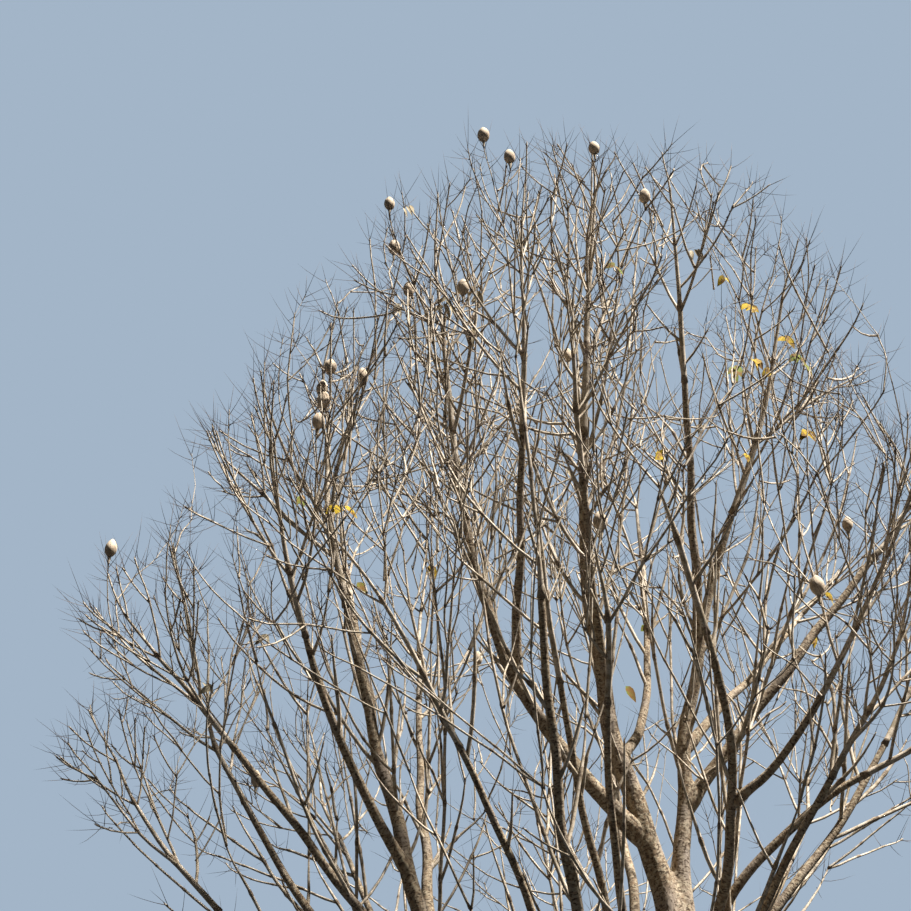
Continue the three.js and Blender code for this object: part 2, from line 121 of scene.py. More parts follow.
CROWN = Crown()
TRUNK = Trunk()
LIMBS = [
    Limb("centre_leader", "trunk", 0.971, -98, 1.45, 6.35, 0.21, 0.43, -1.14, 0.102, 0.034, 0.64),
    Limb("right_leader", "trunk", 0.959, -25, 2, 5.6, -0.01, 0.57, 0.19, 0.078, 0.031, 0.58),
    Limb("left_stem", "trunk", 0.28, -169, 2.4, 8.65, 0.7, 0.5, -0.84, 0.126, 0.032, 0.68),
    Limb("back_left_bough", "centre_leader", 0.2, -151, 1.25, 5.35, 1.65, 0.27, -0.38, 0.068, 0.031, 0.56),
    Limb("right_bough", "right_leader", 0.276, 0, 2.6, 3.15, 0.61, 0.62, -0.06, 0.054, 0.027, 0.62),
    Limb("right_crest", "right_leader", 0.66, -94, 1.4, 4.25, 0.59, 0.45, 0, 0.042, 0.025, 0.5),
    Limb("back_right_bough", "right_leader", 0.42, 42, 2.5, 2.5, 0.62, 0.58, -0.16, 0.04, 0.024, 0.5),
    Limb("front_leader", "centre_leader", 0.5, -100, 1.8, 2.9, 0.6, 0.42, 0, 0.042, 0.025, 0.5),
    Limb("back_centre_bough", "centre_leader", 0.36, 79, 2.1, 4.7, 0.65, 0.15, -0.42, 0.046, 0.026, 0.55),
    Limb("front_left_leader", "back_left_bough", 0.55, -86, 1.6, 3.6, 0.6, 0.42, 0, 0.04, 0.025, 0.5),
    Limb("front_bough", "trunk", 0.609, -103, 2.6, 5.65, 0.77, 0.47, -0.4, 0.058, 0.026, 0.64),
    Limb("front_right_fork", "trunk", 0.878, -109, 2.75, 3.95, 0.4, 0.34, 1.5, 0.046, 0.026, 0.6),
    Limb("front_right_bough", "front_right_fork", 0.6, -42, 1.55, 2.3, 0.54, 0.14, 0.24, 0.034, 0.023, 0.42),
    Limb("right_low_bough", "trunk", 0.829, -16, 3.1, 1.95, 0.31, 1.08, -0.22, 0.047, 0.025, 0.6),
    Limb("front_right_low", "trunk", 0.693, -47, 3.1, 3.35, 0.41, 0.58, 0.26, 0.042, 0.024, 0.6),
    Limb("far_right_bough", "trunk", 0.86, 5, 2.7, 3.8, 0.68, 0.38, -0.04, 0.046, 0.024, 0.6),
    Limb("back_bough", "trunk", 0.814, 92, 2.8, 5.2, 0.6, 0.42, 0, 0.056, 0.027, 0.62),
    Limb("back_right_low", "trunk", 0.758, 47, 3.3, 3.7, 0.6, 0.42, 0, 0.05, 0.025, 0.6),
    Limb("back_low_bough", "trunk", 0.665, 97, 3.5, 3.2, 0.6, 0.42, 0, 0.046, 0.024, 0.6),
    Limb("left_back_bough", "left_stem", 0.52, 94, 2.3, 4.6, 0.59, 0.5, 0.2, 0.052, 0.026, 0.58),
    Limb("left_crest", "left_stem", 0.74, 120, 1.3, 3.7, 0.6, 0.45, 0, 0.042, 0.025, 0.5),
    Limb("left_front_bough", "left_stem", 0.64, -118, 2.05, 3.05, 0.75, 0.38, -0.3, 0.044, 0.024, 0.52),
    Limb("left_low_front", "left_stem", 0.43, -151, 3.05, 2.95, 0.52, 0.64, -0.31, 0.044, 0.024, 0.58),
    Limb("far_left_bough", "left_stem", 0.33, 177, 2.65, 4.1, 0.73, 0.47, -0.12, 0.046, 0.024, 0.6),
    Limb("lowest_left_bough", "left_stem", 0.26, -166, 3.3, 3.05, 0.57, 0.5, -0.34, 0.038, 0.023, 0.6),
    Limb("back_left_low", "left_stem", 0.38, 122, 2.9, 3.5, 0.6, 0.42, 0, 0.048, 0.024, 0.6),
    Limb("front_left_slender", "trunk", 0.543, -130, 3.3, 4.2, 0.3, 0.7, 0, 0.042, 0.023, 0.62),
    Limb("front_left_upper", "trunk", 0.767, -109, 2.75, 4.1, 0.23, 0.51, -0.48, 0.038, 0.023, 0.6),
    Limb("front_centre_bough", "trunk", 0.795, -94, 2.65, 3.75, 0.61, 0.39, -0.59, 0.038, 0.023, 0.58),
]
# Limbs taper, swell in a collar where they leave their parent, and sway a little
LIMB_TAPER = 0.85
COLLAR = {"swell": 0.3, "length": 0.11, "root": 0.6, "drop": 1.7, "reach": 5.5, "least_lean": 0.5}
SWAY = {"share": 0.35, "most": 0.018, "wave": 0.95, "stretch": 1.3}
STEMS = ("trunk", "left_stem", "centre_leader", "right_leader")


# How the wood is meshed: spacing of its samples, fineness of its tubes, a shift between the
# grain of one limb and the next, how the trunk narrows into the upper fork, and the stub of each
# bough that is grown together with its stem
class Wood(NamedTuple):
    rough_steps: int = 40
    fewest_points: int = 8
    stem_spacing: float = 0.04
    stem_rings: int = 14
    bough_spacing: float = 0.024
    bough_rings: int = 6
    grain_spacing: float = 0.03
    grain_shift: float = 13
    below_ground: float = 0.06
    top_length: float = 0.32
    top_narrows: float = 0.5
    top_power: float = 1.5
    stub_length: float = 0.4
    stub_rings: int = 8
    stub_narrows: float = 0.35
    smoothing: int = 14


# The source's rule for shoots, order by order: their lengths as shares of their mass's reach, how
# many stand at a fork, how they tilt and thin, and how far they keep from limbs and other masses
class Twig(NamedTuple):
    share: tuple = (0.29, 0.27, 0.24, 0.22)
    whorl: tuple = (3, 3, 2)
    lateral_at: float = 0.52
    lateral_chance: tuple = (1, 0.5, 0)
    lead_tilt: float = 8
    side_tilt: float = 34
    lateral_tilt: float = 43
    tilt_spread: float = 8
    turn_spread: float = 0.5
    lift: float = 0.12
    length_spread: float = 0.15
    lead_thinning: float = 0.85
    side_thinning: float = 0.7
    lateral_thinning: float = 0.62
    taper: float = 0.8
    thinnest: float = 0.007
    set_back: float = 2.6
    set_back_step: float = 0.3
    shortenings: tuple = (1, 0.78, 0.56)
    limb_clearance: float = 0.015
    space_clearance: float = 0.012
    probes: int = 5
    seed_step: int = 977


# Short shoots along the source's shoots: where, how often for each order, how long and how thick
class Fine(NamedTuple):
    places: tuple = (0.35, 0.7)
    place_spread: float = 0.15
    chance: tuple = (0.0, 0.3, 0.4, 0.35)
    share: float = 0.42
    length_spread: float = 0.35
    tilt: float = 42
    tilt_spread: float = 0.25
    lift: float = 0.3
    radius: float = 0.0062
    girth: float = 0.75
    thinning: float = 0.85
    apart: float = 0.13
    probes: tuple = (0.4, 0.7, 1.0)


# Long upswept shoots that leave the bare limbs steeply and then run along with them. `apart`
# holds how far their knots keep from others where the crown is full, as usual and open.
class Whip(NamedTuple):
    first: float = 0.95
    spacing: float = 0.2
    spacing_spread: float = 0.4
    limb_step: float = 0.15
    foot_step: float = 0.05
    foot_inside: float = 2
    tilt: float = 41
    tilt_spread: float = 0.2
    last_tilt: float = 0.8
    step: float = 0.47
    step_spread: float = 0.25
    steps: tuple = (5, 3, 2)
    steps_spread: float = 0.3
    first_probe: float = 0.5
    next_probe: float = 0.1
    probes: int = 4
    radius: tuple = (0.0165, 0.0118, 0.009)
    thinning: float = 0.9
    thinnest: float = 0.0074
    blunt: float = 0.006
    rise: float = 0.24
    follow: float = 0.2
    shake: float = 0.08
    side_chance: float = 0.72
    apart: tuple = (0.155, 0.42, 0.6)
    open_below: float = 8.2
    open_beyond: float = 0.3
    open_by: float = 0.9
    low_weight: float = 0.6
    sparse: float = 0.85
    upturn: float = 0.45
    least_up: float = 0.05
    places: tuple = (0.25, 0.5, 0.78)
    place_spread: float = 0.15
    on_shoots: tuple = (0.9, 0.75, 0.5, 0.2)


# Shoots that are led to a place: under a capsule, or where the crown would stay empty
class Led(NamedTuple):
    tries: int = 24000
    above: float = 5.5
    apart: tuple = (0.205, 0.42, 0.6)
    shortest: float = 0.35
    longest: float = 1.7
    least_up: float = 0.35
    least_ahead: float = 0.35
    up_cost: float = 2.2
    turn_cost: float = 1.5
    bend: float = 0.45
    rise: float = 0.22
    step: float = 0.32
    girth: float = 0.9
    thinning: float = 0.6
    side_chance: float = 0.75


# The bark's relief: the radius of a limb from which it is full, and its least share; for its
# grooves, lumps and rings the size across, the size along and a shift that keeps them apart
class Relief(NamedTuple):
    full_radius: float = 0.15
    least: float = 0.16
    groove: tuple = (0.045, 0.19, 0)
    lump: tuple = (0.09, 0.13, 50)
    ring: tuple = (0.1, 0.03, 90)
    lumps: float = 0.5
    rings: float = 0.25
    groove_width: float = 0.16


WOOD = Wood()
RELIEF = Relief()
TWIG = Twig()
FINE = Fine()
WHIP = Whip()
LED = Led()
MOST_SHOOTS = 30000
FAR_AWAY = 1000.0
STEEP = 0.98

# Shoots swell at their knots and end in a bud. They start more outward than they go on, wander
# a little and turn up at their ends.
KNOT = {
    "swell": 0.34, "length": 2.2, "base": 0.25, "widest": 0.16, "before": 0.05,
    # The tones paint each knot and the bud darker: real scars, and painted shade where shoots fork
    "between": (0.34, 0.66), "tones": (1, 0, 0, 0, 1),
}
BUD = {"girths": (1.15, 0.75), "neck": 2.2, "point": 5.0}
OUTWARD = 0.5
UPTURN = 0.3
WANDER = 0.065

# Where the photographed view is fuller (0) or more open (above 1) than the crown around it:
# place across and up on the crown's middle plane, size, and how open it is
PATCHES = [
    (1.0, 8.2, 0.45, 1.5), (0.4, 7.9, 0.4, 1.5), (-0.72, 5.9, 0.4, 1.3), (-1.23, 7.2, 0.4, 1.3),
    (-3.55, 6.75, 0.5, 1.5), (-3.9, 5.7, 0.4, 1.5), (-0.15, 9.7, 0.4, 1.3), (0.45, 6.5, 0.5, 1.5),
    (0.4, 5.2, 0.5, 1.5), (2.6, 7.6, 0.4, 1.3), (1.15, 10.3, 0.45, 1.5), (1.05, 9.3, 0.4, 1.3),
    (1.76, 5.5, 0.5, 1.5), (-1.75, 7.6, 0.3, 1.3), (-0.2, 6.9, 0.4, 1.4), (-2.2, 5.3, 0.35, 1.3),
    (-1.25, 10.0, 0.5, 0), (-1.25, 8.4, 0.5, 0), (-1.85, 9.1, 0.4, 0), (2.2, 9.2, 0.5, 0),
    (-2.3, 7.1, 0.45, 0.55), (-2.25, 6.45, 0.35, 0.4), (1.85, 6.4, 0.35, 0.3),
]
FULL_USUAL_OPEN = (0, 1, 1.5)
# The crest leans towards the photographed side, under a dome and a line of sight of this slope
CREST = {"lean": 0.3, "from": 8.5, "dome": 0.2, "slope": 0.957}

# Seed capsules: upright woody ovoids on short stalks, at these places in the crown
CAPSULE_PLACES = [
    (-0.72, -1.6, 10.7), (-0.5, -1.6, 10.45), (0.23, -1.5, 10.65), (-1.52, -1.3, 10.2),
    (-1.48, -1.2, 9.8), (-1.35, -1.0, 9.5), (-0.9, -1.6, 9.05), (-1.75, -0.5, 8.95),
    (-1.95, -1.3, 8.5), (-2.02, -1.2, 8.35), (-1.98, -1.4, 8.1), (-2.0, -1.5, 7.85),
    (-3.78, -0.2, 7.45), (-2.7, 1.6, 6.15), (0.62, -1.5, 10.1), (1.55, -1.7, 6.35),
    (0.05, -1.9, 6.75), (-0.75, 2.3, 7.6), (2.6, 0.9, 8.3), (0.4, 2.4, 9.0), (0.1, 0.5, 9.9),
]
CAPSULE_SEAT = 0.15


# A capsule's outline, its valves and the faint seams between them
class Husk(NamedTuple):
    sides: int = 20
    rows: int = 14
    bluntness: float = 0.62
    foot_width: float = 1.06
    narrows: float = 0.22
    valves: int = 5
    seam: float = 0.035
    seam_power: int = 8
    lean: float = 0.12
    size_spread: float = 0.08
    point: float = 1.02


# A stalk's heights as shares of its length, and its radii
class FruitStalk(NamedTuple):
    heights: tuple = (-0.05, 0.3, 0.65, 1.0)
    radii: tuple = (0.006, 0.009, 0.0105, 0.016)
    end: float = 0.02
    sides: int = 6


HUSK = Husk()
FRUIT_STALK = FruitStalk()

# The last leaves: kind, number of leaflets and place; each hangs from the nearest shoot
LEAF_PLACES = [
    ("yellow", 4, (1.57, -0.9, 9.38)), ("yellow", 4, (1.44, -1.1, 8.7)), ("yellow", 3, (1.6, -1.0, 8.64)),
    ("green", 3, (1.25, -1.2, 8.51)), ("yellow", 3, (1.81, -0.8, 9.17)), ("green", 3, (1.92, -0.7, 9.01)),
    ("yellow", 4, (1.83, -1.0, 8.04)), ("yellow", 2, (0.56, -1.6, 7.48)), ("yellow", 1, (1.25, -1.3, 7.69)),
    ("green", 2, (0.33, -1.5, 9.33)), ("yellow", 3, (-1.77, -1.5, 7.11)), ("green", 2, (-2.09, -1.4, 7.21)),
    ("green", 1, (-1.65, -1.6, 6.42)), ("yellow", 2, (1.66, -1.5, 6.35)), ("green", 1, (0.15, -1.9, 5.53)),
    ("dry", 3, (-2.69, -1.2, 5.82)), ("dry", 5, (-0.78, -1.4, 9.11)), ("dry", 4, (-0.83, -1.2, 8.95)),
    ("dry", 5, (-1.03, -1.5, 9.03)), ("dry", 3, (-1.35, -1.4, 10.09)), ("dry", 3, (-1.44, -1.3, 9.1)),
    ("dry", 3, (-0.41, -1.3, 9.79)), ("dry", 3, (0.62, -1.3, 10.35)), ("dry", 3, (1.06, -1.0, 9.93)),
    ("yellow", 2, (1.34, -0.9, 9.71)), ("green", 2, (2.01, -0.6, 8.97)), ("yellow", 3, (-1.2, 1.8, 8.3)),
    ("green", 3, (0.9, 2.3, 7.9)), ("yellow", 3, (2.3, 1.4, 7.4)), ("dry", 4, (-2.6, 0.9, 7.2)),
    ("dry", 3, (0.2, 2.0, 9.6)), ("dry", 4, (1.4, 0.9, 9.4)),
]


# How slim, folded and curled the leaflets of a kind are
class Form(NamedTuple):
    slim: float
    fold: float
    curl: float


# A leaf's drooping stalk, the places of its leaflets, and the outline of a leaflet
class Leaf(NamedTuple):
    reach: float = 0.3
    lift: float = 0.05
    stalk_shares: tuple = (0, 0.35, 0.7)
    stalk_radii: tuple = (0.002, 0.0016, 0.0013)
    droop: float = 0.25
    leaflet_step: float = 0.16
    hang: float = 0.7
    hang_spread: float = 0.6
    turn_away: float = 0.8
    shake: float = 0.8
    length_spread: float = 0.25
    width_spread: float = 0.2
    narrow_half: float = 0.8
    shares: tuple = (0, 0.14, 0.34, 0.58, 0.8, 1)
    widths: tuple = (0.02, 0.72, 1, 0.84, 0.45, 0.02)


LEAFLET_FORMS = {"yellow": Form(1, 0.1, 0.15), "green": Form(1, 0.1, 0.15), "dry": Form(0.6, 0.3, 0.35)}
LEAF_KINDS = tuple(LEAFLET_FORMS)
LEAF = Leaf()


# How the stalks of fallen leaves stand out from a shoot's end
class Tuft(NamedTuple):
    fine_share: float = 0.75
    inner_share: float = 0.3
    foot_step: float = 0.032
    deepest: float = 0.8
    tilt: float = 28
    tilt_step: float = 9
    most_tilt: float = 80
    tilt_spread: float = 20
    length_spread: float = 0.35
    rise: float = 0.3
    fall: float = 0.1
    follow: float = 0.12
    shares: tuple = (0, 0.3, 0.65)
    girths: tuple = (1.3, 0.85, 0.65)
    brown_share: float = 0.3


TUFT = Tuft()
# Leaf stalks are so thin that three sides look round
STALK_SIDES = 3

# The photographed view
EYE = np.array([-0.96, -11.0, 1.6])
LOOK_UP = 32.0
FOCAL_PIXELS = 1500.0
FRAME_PIXELS = 911.0
SENSOR = 36.0

# The stage around the tree, and the sun: the way to it, its width in degrees and its tint
FLOOR_RADIUS = 70
BACKDROP_RADIUS = 75
SEEN_UP_TO = 400
TO_SUN = (0.46, -0.2, 0.87)
SUN_WIDTH = 4
SUN_TINT = (1.0, 0.965, 0.92)


# Chance: numbers from 0 to 1 that depend only on a shoot's own seed. The salt only keeps one
# draw apart from the others of that seed.
def mix(seed, salt):
    """A new seed from a seed."""
    low = 0xFFFFFFFF
    value = ((seed ^ ((salt + 1) * 0x9E3779B1 & low)) * 0x85EBCA6B) & low
    value ^= value >> 13
    value = (value * 0xC2B2AE35) & low
    return value ^ (value >> 16)


def chance(seed, salt):
    return mix(seed, salt) / 4294967296


def around(seed, salt, middle, share):
    """A value that strays from its middle by up to a share of it."""
    return middle * (1 + share * (2 * chance(seed, salt) - 1))


def unit(vector):
    return vector / np.linalg.norm(vector, axis=-1, keepdims=True)


# Paths: each limb is a quadratic curve from a foot through a bend to an end
class Path(NamedTuple):
    foot: np.ndarray
    bend: np.ndarray
    end: np.ndarray
    bare: float
    limb: Limb


def path_point(path, t):
    t = np.asarray(t, float)[..., None]
    return path.foot * (1 - t) ** 2 + path.bend * 2 * t * (1 - t) + path.end * t ** 2


def path_direction(path, t):
    t = np.asarray(t, float)[..., None]
    return unit(path.foot * (t - 1) + path.bend * (1 - 2 * t) + path.end * t)


def make_paths():
    """The trunk's path and each limb's, by name."""
    paths = {"trunk": Path(np.zeros(3), np.array(TRUNK.bend), np.array(TRUNK.top), 1.0, None)}
    for limb in LIMBS:
        parent = paths[limb.on]
        foot = path_point(parent, limb.at * parent.bare)
        heading = math.radians(limb.heading)
        ahead = np.array([math.cos(heading), math.sin(heading), 0.0])
        aside = np.array([-ahead[1], ahead[0], 0.0])
        end = foot + ahead * limb.spread + UP * limb.rise
        bend = foot + ahead * limb.spread * limb.out + aside * limb.veer + UP * limb.rise * limb.up
        paths[limb.name] = Path(foot, bend, end, limb.bare, limb)
    return paths


PATHS = make_paths()


def path_radius(path, t):
    if path.limb is None:
        return TRUNK.foot_radius + (TRUNK.top_radius - TRUNK.foot_radius) * np.asarray(t)
    share = np.asarray(t) / path.limb.bare
    return path.limb.girth + (path.limb.tip - path.limb.girth) * share ** LIMB_TAPER


class Line(NamedTuple):
    """A limb's wood, sampled along its path."""
    points: np.ndarray
    radii: np.ndarray
    along: np.ndarray
    forward: np.ndarray
    side: np.ndarray
    normal: np.ndarray


def parent_girth(path):
    """How far along a limb its parent's bark lies."""
    parent = PATHS[path.limb.on]
    at = path.limb.at * parent.bare
    lean = np.linalg.norm(np.cross(path_direction(parent, at), path_direction(path, 0)))
    return float(path_radius(parent, at) / max(lean, COLLAR["least_lean"]))


def limb_line(name, spacing):
    """Samples a limb about every `spacing`, with a slight sway that is gone at both ends."""
    path = PATHS[name]
    rough = path_point(path, np.linspace(0, path.bare, WOOD.rough_steps))
    length = np.linalg.norm(np.diff(rough, axis=0), axis=1).sum()
    t = np.linspace(0, path.bare, max(WOOD.fewest_points, round(length / spacing)))
    points = path_point(path, t)
    forward = path_direction(path, t)
    side = unit(np.cross(path.bend - path.foot, path.end - path.foot))
    normal = np.cross(side, forward)
    along = length * t / path.bare
    radii = path_radius(path, t)
    seed = list(PATHS).index(name) + 1
    fade = np.sin(math.pi * t / path.bare)
    reach = np.minimum(SWAY["share"] * radii, SWAY["most"]) * fade
    phase = TURN * chance(seed, 61)
    long_wave = SWAY["stretch"] * SWAY["wave"]
    points = points + side * (reach * np.sin(TURN * along / SWAY["wave"] + phase))[:, None]
    points = points + normal * (reach * np.cos(TURN * along / long_wave + phase))[:, None]
    if path.limb is not None:
        inside = parent_girth(path)
        out = np.maximum(along - inside, 0)
        radii = radii * (1 + COLLAR["swell"] * np.exp(-out / COLLAR["length"]))
        radii = radii * (COLLAR["root"] + (1 - COLLAR["root"]) * np.minimum(along / inside, 1))
        parent = PATHS[path.limb.on]
        near = np.clip(1 - along / (COLLAR["reach"] * path.limb.girth), 0, 1)
        drop = COLLAR["drop"] * path.limb.girth * near ** 2
        points = points - path_direction(parent, path.limb.at * parent.bare) * drop[:, None]
    return Line(points, radii, along, forward, np.broadcast_to(side, points.shape), normal)


def family(name):
    """The stem that carries a limb."""
    while name not in STEMS:
        name = PATHS[name].limb.on
    return name


# Where points lie: inside the crown's skin, and how far from straight lines
def across_crown(x, z):
    """How far right of the crown's leaning middle line a place lies."""
    return x - CROWN.middle_x - CROWN.lean * (z - CROWN.lean_from)


def skin_share(points):
    """How far out points are on the way from the crown's middle line to its skin."""
    z = points[:, 2]
    above = np.clip((z - CROWN.widest) / (CROWN.top - CROWN.widest), 0, 1)
    below = np.clip((CROWN.widest - z) / (CROWN.widest - CROWN.bottom), 0, 1)
    radius = CROWN.radius * np.where(above > 0, (1 - above) ** CROWN.roundness, np.sqrt(1 - below ** 2))
    x = across_crown(points[:, 0], z)
    y = points[:, 1] / np.where(points[:, 1] < 0, CROWN.front, 1)
    return np.hypot(x, y) / np.maximum(radius, 1e-6)


def inside_crown(points):
    z = points[:, 2]
    return bool(((z > CROWN.bottom) & (z < CROWN.top) & (skin_share(points) < 1)).all())


def in_reach(points):
    """Whether points are inside the skin, whose crest leans forward here, and under its top."""
    share = np.clip((points[:, 2] - CREST["from"]) / (CROWN.top - CREST["from"]), 0, 1)
    moved = points + np.array([0, CREST["lean"], 0]) * share[:, None]
    across = across_crown(moved[:, 0], moved[:, 2])
    dome = SIZE_HIGH[2] - CREST["dome"] * (across ** 2 + moved[:, 1] ** 2)
    roof = EYE[2] + (points[:, 1] - EYE[1]) * CREST["slope"]
    return inside_crown(moved) and bool((points[:, 2] < np.minimum(dome, roof)).all())


def line_distances(points, starts, ends):
    """The distance of each point from each straight line, as a table."""
    along = ends - starts
    offset = points[:, None] - starts
    share = np.clip((offset * along).sum(2) / (along ** 2).sum(1), 0, 1)
    return np.linalg.norm(offset - share[..., None] * along, axis=2)


def limb_pieces(count=12):
    """Every limb and the trunk as short straight lines with a radius each."""
    starts, ends, radii = [], [], []
    for path in PATHS.values():
        t = np.linspace(0, path.bare, count + 1)
        points = path_point(path, t)
        starts.append(points[:-1])
        ends.append(points[1:])
        radii.append(np.full(count, TRUNK.foot_radius) if path.limb is None else path_radius(path, t[:-1]))
    return np.concatenate(starts), np.concatenate(ends), np.concatenate(radii)


# Shoots: the source's rule, then finer shoots along each
class Mass:
    """The shoots that carry on from one limb."""

    def __init__(self, index, limb):
        path = PATHS[limb.name]
        self.index = index
        self.limb = limb
        self.tip = path_point(path, limb.bare)
        self.end = path.end
        self.forward = path_direction(path, limb.bare)
        self.reach = np.linalg.norm(self.end - self.tip)
        self.seed = (index + 1) * TWIG.seed_step
        self.chains = []


class Chain:
    """Shoots that follow each other as leads: knots, radii and how the first one starts."""

    def __init__(self, order, parent_direction, seed, fine):
        self.order = order
        self.parent_direction = parent_direction
        self.seed = seed
        self.fine = fine
        self.knots = []
        self.radii = []


def turned(direction, tilt, azimuth):
    """A direction tilted away from another towards an azimuth round it, and lifted a little."""
    flat = np.array([1.0, 0.0, 0.0]) if abs(direction[2]) > STEEP else UP
    across = unit(np.cross(direction, flat))
    over = np.cross(direction, across)
    turn = across * math.cos(azimuth) + over * math.sin(azimuth)
    return unit(direction * math.cos(tilt) + turn * math.sin(tilt) + UP * TWIG.lift)


class Growth:
    """Grows every mass by the source's rule and carries it on to finer shoots."""

    def __init__(self):
        self.masses = [Mass(index, limb) for index, limb in enumerate(LIMBS)]
        self.tips = np.array([mass.tip for mass in self.masses])
        self.ends = np.array([mass.end for mass in self.masses])
        self.starts, self.stops, self.radii = limb_pieces()
        self.taken = np.full((MOST_SHOOTS, 3), FAR_AWAY)
        self.ways = np.zeros((MOST_SHOOTS, 3))
        self.girths = np.zeros(MOST_SHOOTS)
        self.owners = np.zeros(MOST_SHOOTS, int)
        self.count = 0
        for mass in self.masses:
            line = limb_line(mass.limb.name, WHIP.limb_step)
            for i in np.flatnonzero(line.along > WHIP.first):
                self.take(mass, line.points[i], line.forward[i], line.radii[i])
        self.on_limbs = self.count
        self.shoots = []
        self.fruit_ends = []
        for mass in self.masses:
            length = mass.reach * TWIG.share[0]
            chain = self.new_chain(mass, 0, mass.forward, mass.seed, False)
            self.grow(mass, mass.tip, mass.forward, length, mass.limb.tip, 0, mass.seed, chain)
        for index, place in enumerate(CAPSULE_PLACES):
            self.fruit_ends.append(np.array(place) - UP * CAPSULE_SEAT)
            self.lead_shoot(self.fruit_ends[-1], mix(index, 7), True)
        for mass, start, end, _, order, seed in list(self.shoots):
            self.whip_shoot(mass, start, end, order, seed)
        for mass in self.masses:
            self.grow_whips(mass)
        self.fill_crown()
        for shoot in self.shoots:
            self.grow_fine(*shoot)
        for mass in self.masses:
            mass.chains = [chain for chain in mass.chains if chain.knots]
            for chain in mass.chains:
                chain.radii[-1] = min(chain.radii[-1], WHIP.blunt)

    def new_chain(self, mass, order, parent_direction, seed, fine):
        chain = Chain(order, parent_direction, seed, fine)
        mass.chains.append(chain)
        return chain

    def is_clear(self, points, radius):
        """Whether points of a shoot are inside the crown and clear of every limb."""
        if not in_reach(points):
            return False
        gaps = line_distances(points, self.starts, self.stops) - self.radii - radius
        return bool((gaps >= TWIG.limb_clearance).all())

    def has_room(self, mass, start, end, radius, order):
        """The source's test: a shoot also keeps to its own mass's space."""
        shares = np.arange(1, TWIG.probes + 1) / TWIG.probes
        points = start + (end - start) * shares[:, None]
        if not inside_crown(points):
            return False
        table = line_distances(points, self.tips, self.ends)
        own = table[:, mass.index]
        others = np.delete(table, mass.index, axis=1)
        if (others - own[:, None] < 2 * (radius + TWIG.space_clearance)).any():
            return False
        return order == 0 or self.is_clear(points, radius)

    def is_lonely(self, point, apart):
        """Whether no other shoot ends near a point."""
        shoots = self.taken[self.on_limbs:self.count]
        return bool((np.linalg.norm(shoots - point, axis=1) > apart).all())

    def openness(self, point):
        """How open the crown is at a point: more so low down and far from its middle line."""
        x, y, z = point
        seen = EYE + (point - EYE) * EYE[1] / (EYE[1] - y)
        for across, up, size, openness in PATCHES:
            if math.hypot(seen[0] - across, seen[2] - up) < size:
                return openness
        low = np.clip((WHIP.open_below - z) / (WHIP.open_below - CROWN.bottom), 0, 1)
        out = math.hypot(across_crown(x, z), y) / CROWN.radius
        far = np.clip((out - WHIP.open_beyond) / (WHIP.open_by - WHIP.open_beyond), 0, 1)
        return min(1, WHIP.low_weight * low + far)

    def has_whip_room(self, points, radius):
        apart = np.interp(self.openness(points[-1]), FULL_USUAL_OPEN, WHIP.apart)
        return self.is_lonely(points[-1], apart) and self.is_clear(points, radius)

    def take(self, mass, point, way, girth):
        """Notes a knot, which keeps others away and from which shoots can be led."""
        self.taken[self.count] = point
        self.ways[self.count] = way
        self.girths[self.count] = girth
        self.owners[self.count] = mass.index
        self.count += 1

    def grow(self, mass, start, direction, length, radius, order, seed, chain):
        """The source's rule: a shoot, the lead and side shoots at its end, and a lateral."""
        for share in TWIG.shortenings:
            end = start + direction * length * share
            if self.has_room(mass, start, end, radius, order):
                break
        else:
            if order > 0:
                return
            end = start + direction * length
        end_radius = max(radius * TWIG.taper, TWIG.thinnest)
        if not chain.knots:
            chain.knots.append(start)
            chain.radii.append(radius)
        chain.knots.append(end)
        chain.radii.append(end_radius)
        self.take(mass, end, direction, end_radius)
        self.shoots.append((mass, start, end, radius, order, seed))
        if order == len(TWIG.share) - 1:
            return
        next_length = mass.reach * TWIG.share[order + 1]
        phase = TURN * chance(seed, 1)
        sides = TWIG.whorl[order] - 1
        for k in range(sides + 1):
            lead = k == 0
            tilt = TWIG.lead_tilt if lead else TWIG.side_tilt
            tilt += TWIG.tilt_spread * (2 * chance(seed, 10 + k) - 1)
            azimuth = phase + TURN * k / max(1, sides) + TWIG.turn_spread * chance(seed, 20 + k)
            back = 0 if lead else (TWIG.set_back + TWIG.set_back_step * k) * end_radius
            child_seed = mix(seed, 40 + k)
            thinning = TWIG.lead_thinning if lead else TWIG.side_thinning
            self.grow(
                mass,
                end - direction * back,
                turned(direction, math.radians(tilt), azimuth),
                around(seed, 30 + k, next_length, TWIG.length_spread),
                max(end_radius * thinning, TWIG.thinnest),
                order + 1,
                child_seed,
                chain if lead else self.new_chain(mass, order + 1, direction, child_seed, False),
            )
        if chance(seed, 54) > TWIG.lateral_chance[order]:
            return
        radius_there = radius + (end_radius - radius) * TWIG.lateral_at
        tilt = TWIG.lateral_tilt + TWIG.tilt_spread * (2 * chance(seed, 50) - 1)
        child_seed = mix(seed, 53)
        self.grow(
            mass,
            start + (end - start) * TWIG.lateral_at,
            turned(direction, math.radians(tilt), phase + math.pi * chance(seed, 51)),
            around(seed, 52, next_length, TWIG.length_spread),
            max(radius_there * TWIG.lateral_thinning, TWIG.thinnest),
            order + 1,
            child_seed,
            self.new_chain(mass, order + 1, direction, child_seed, False),
        )

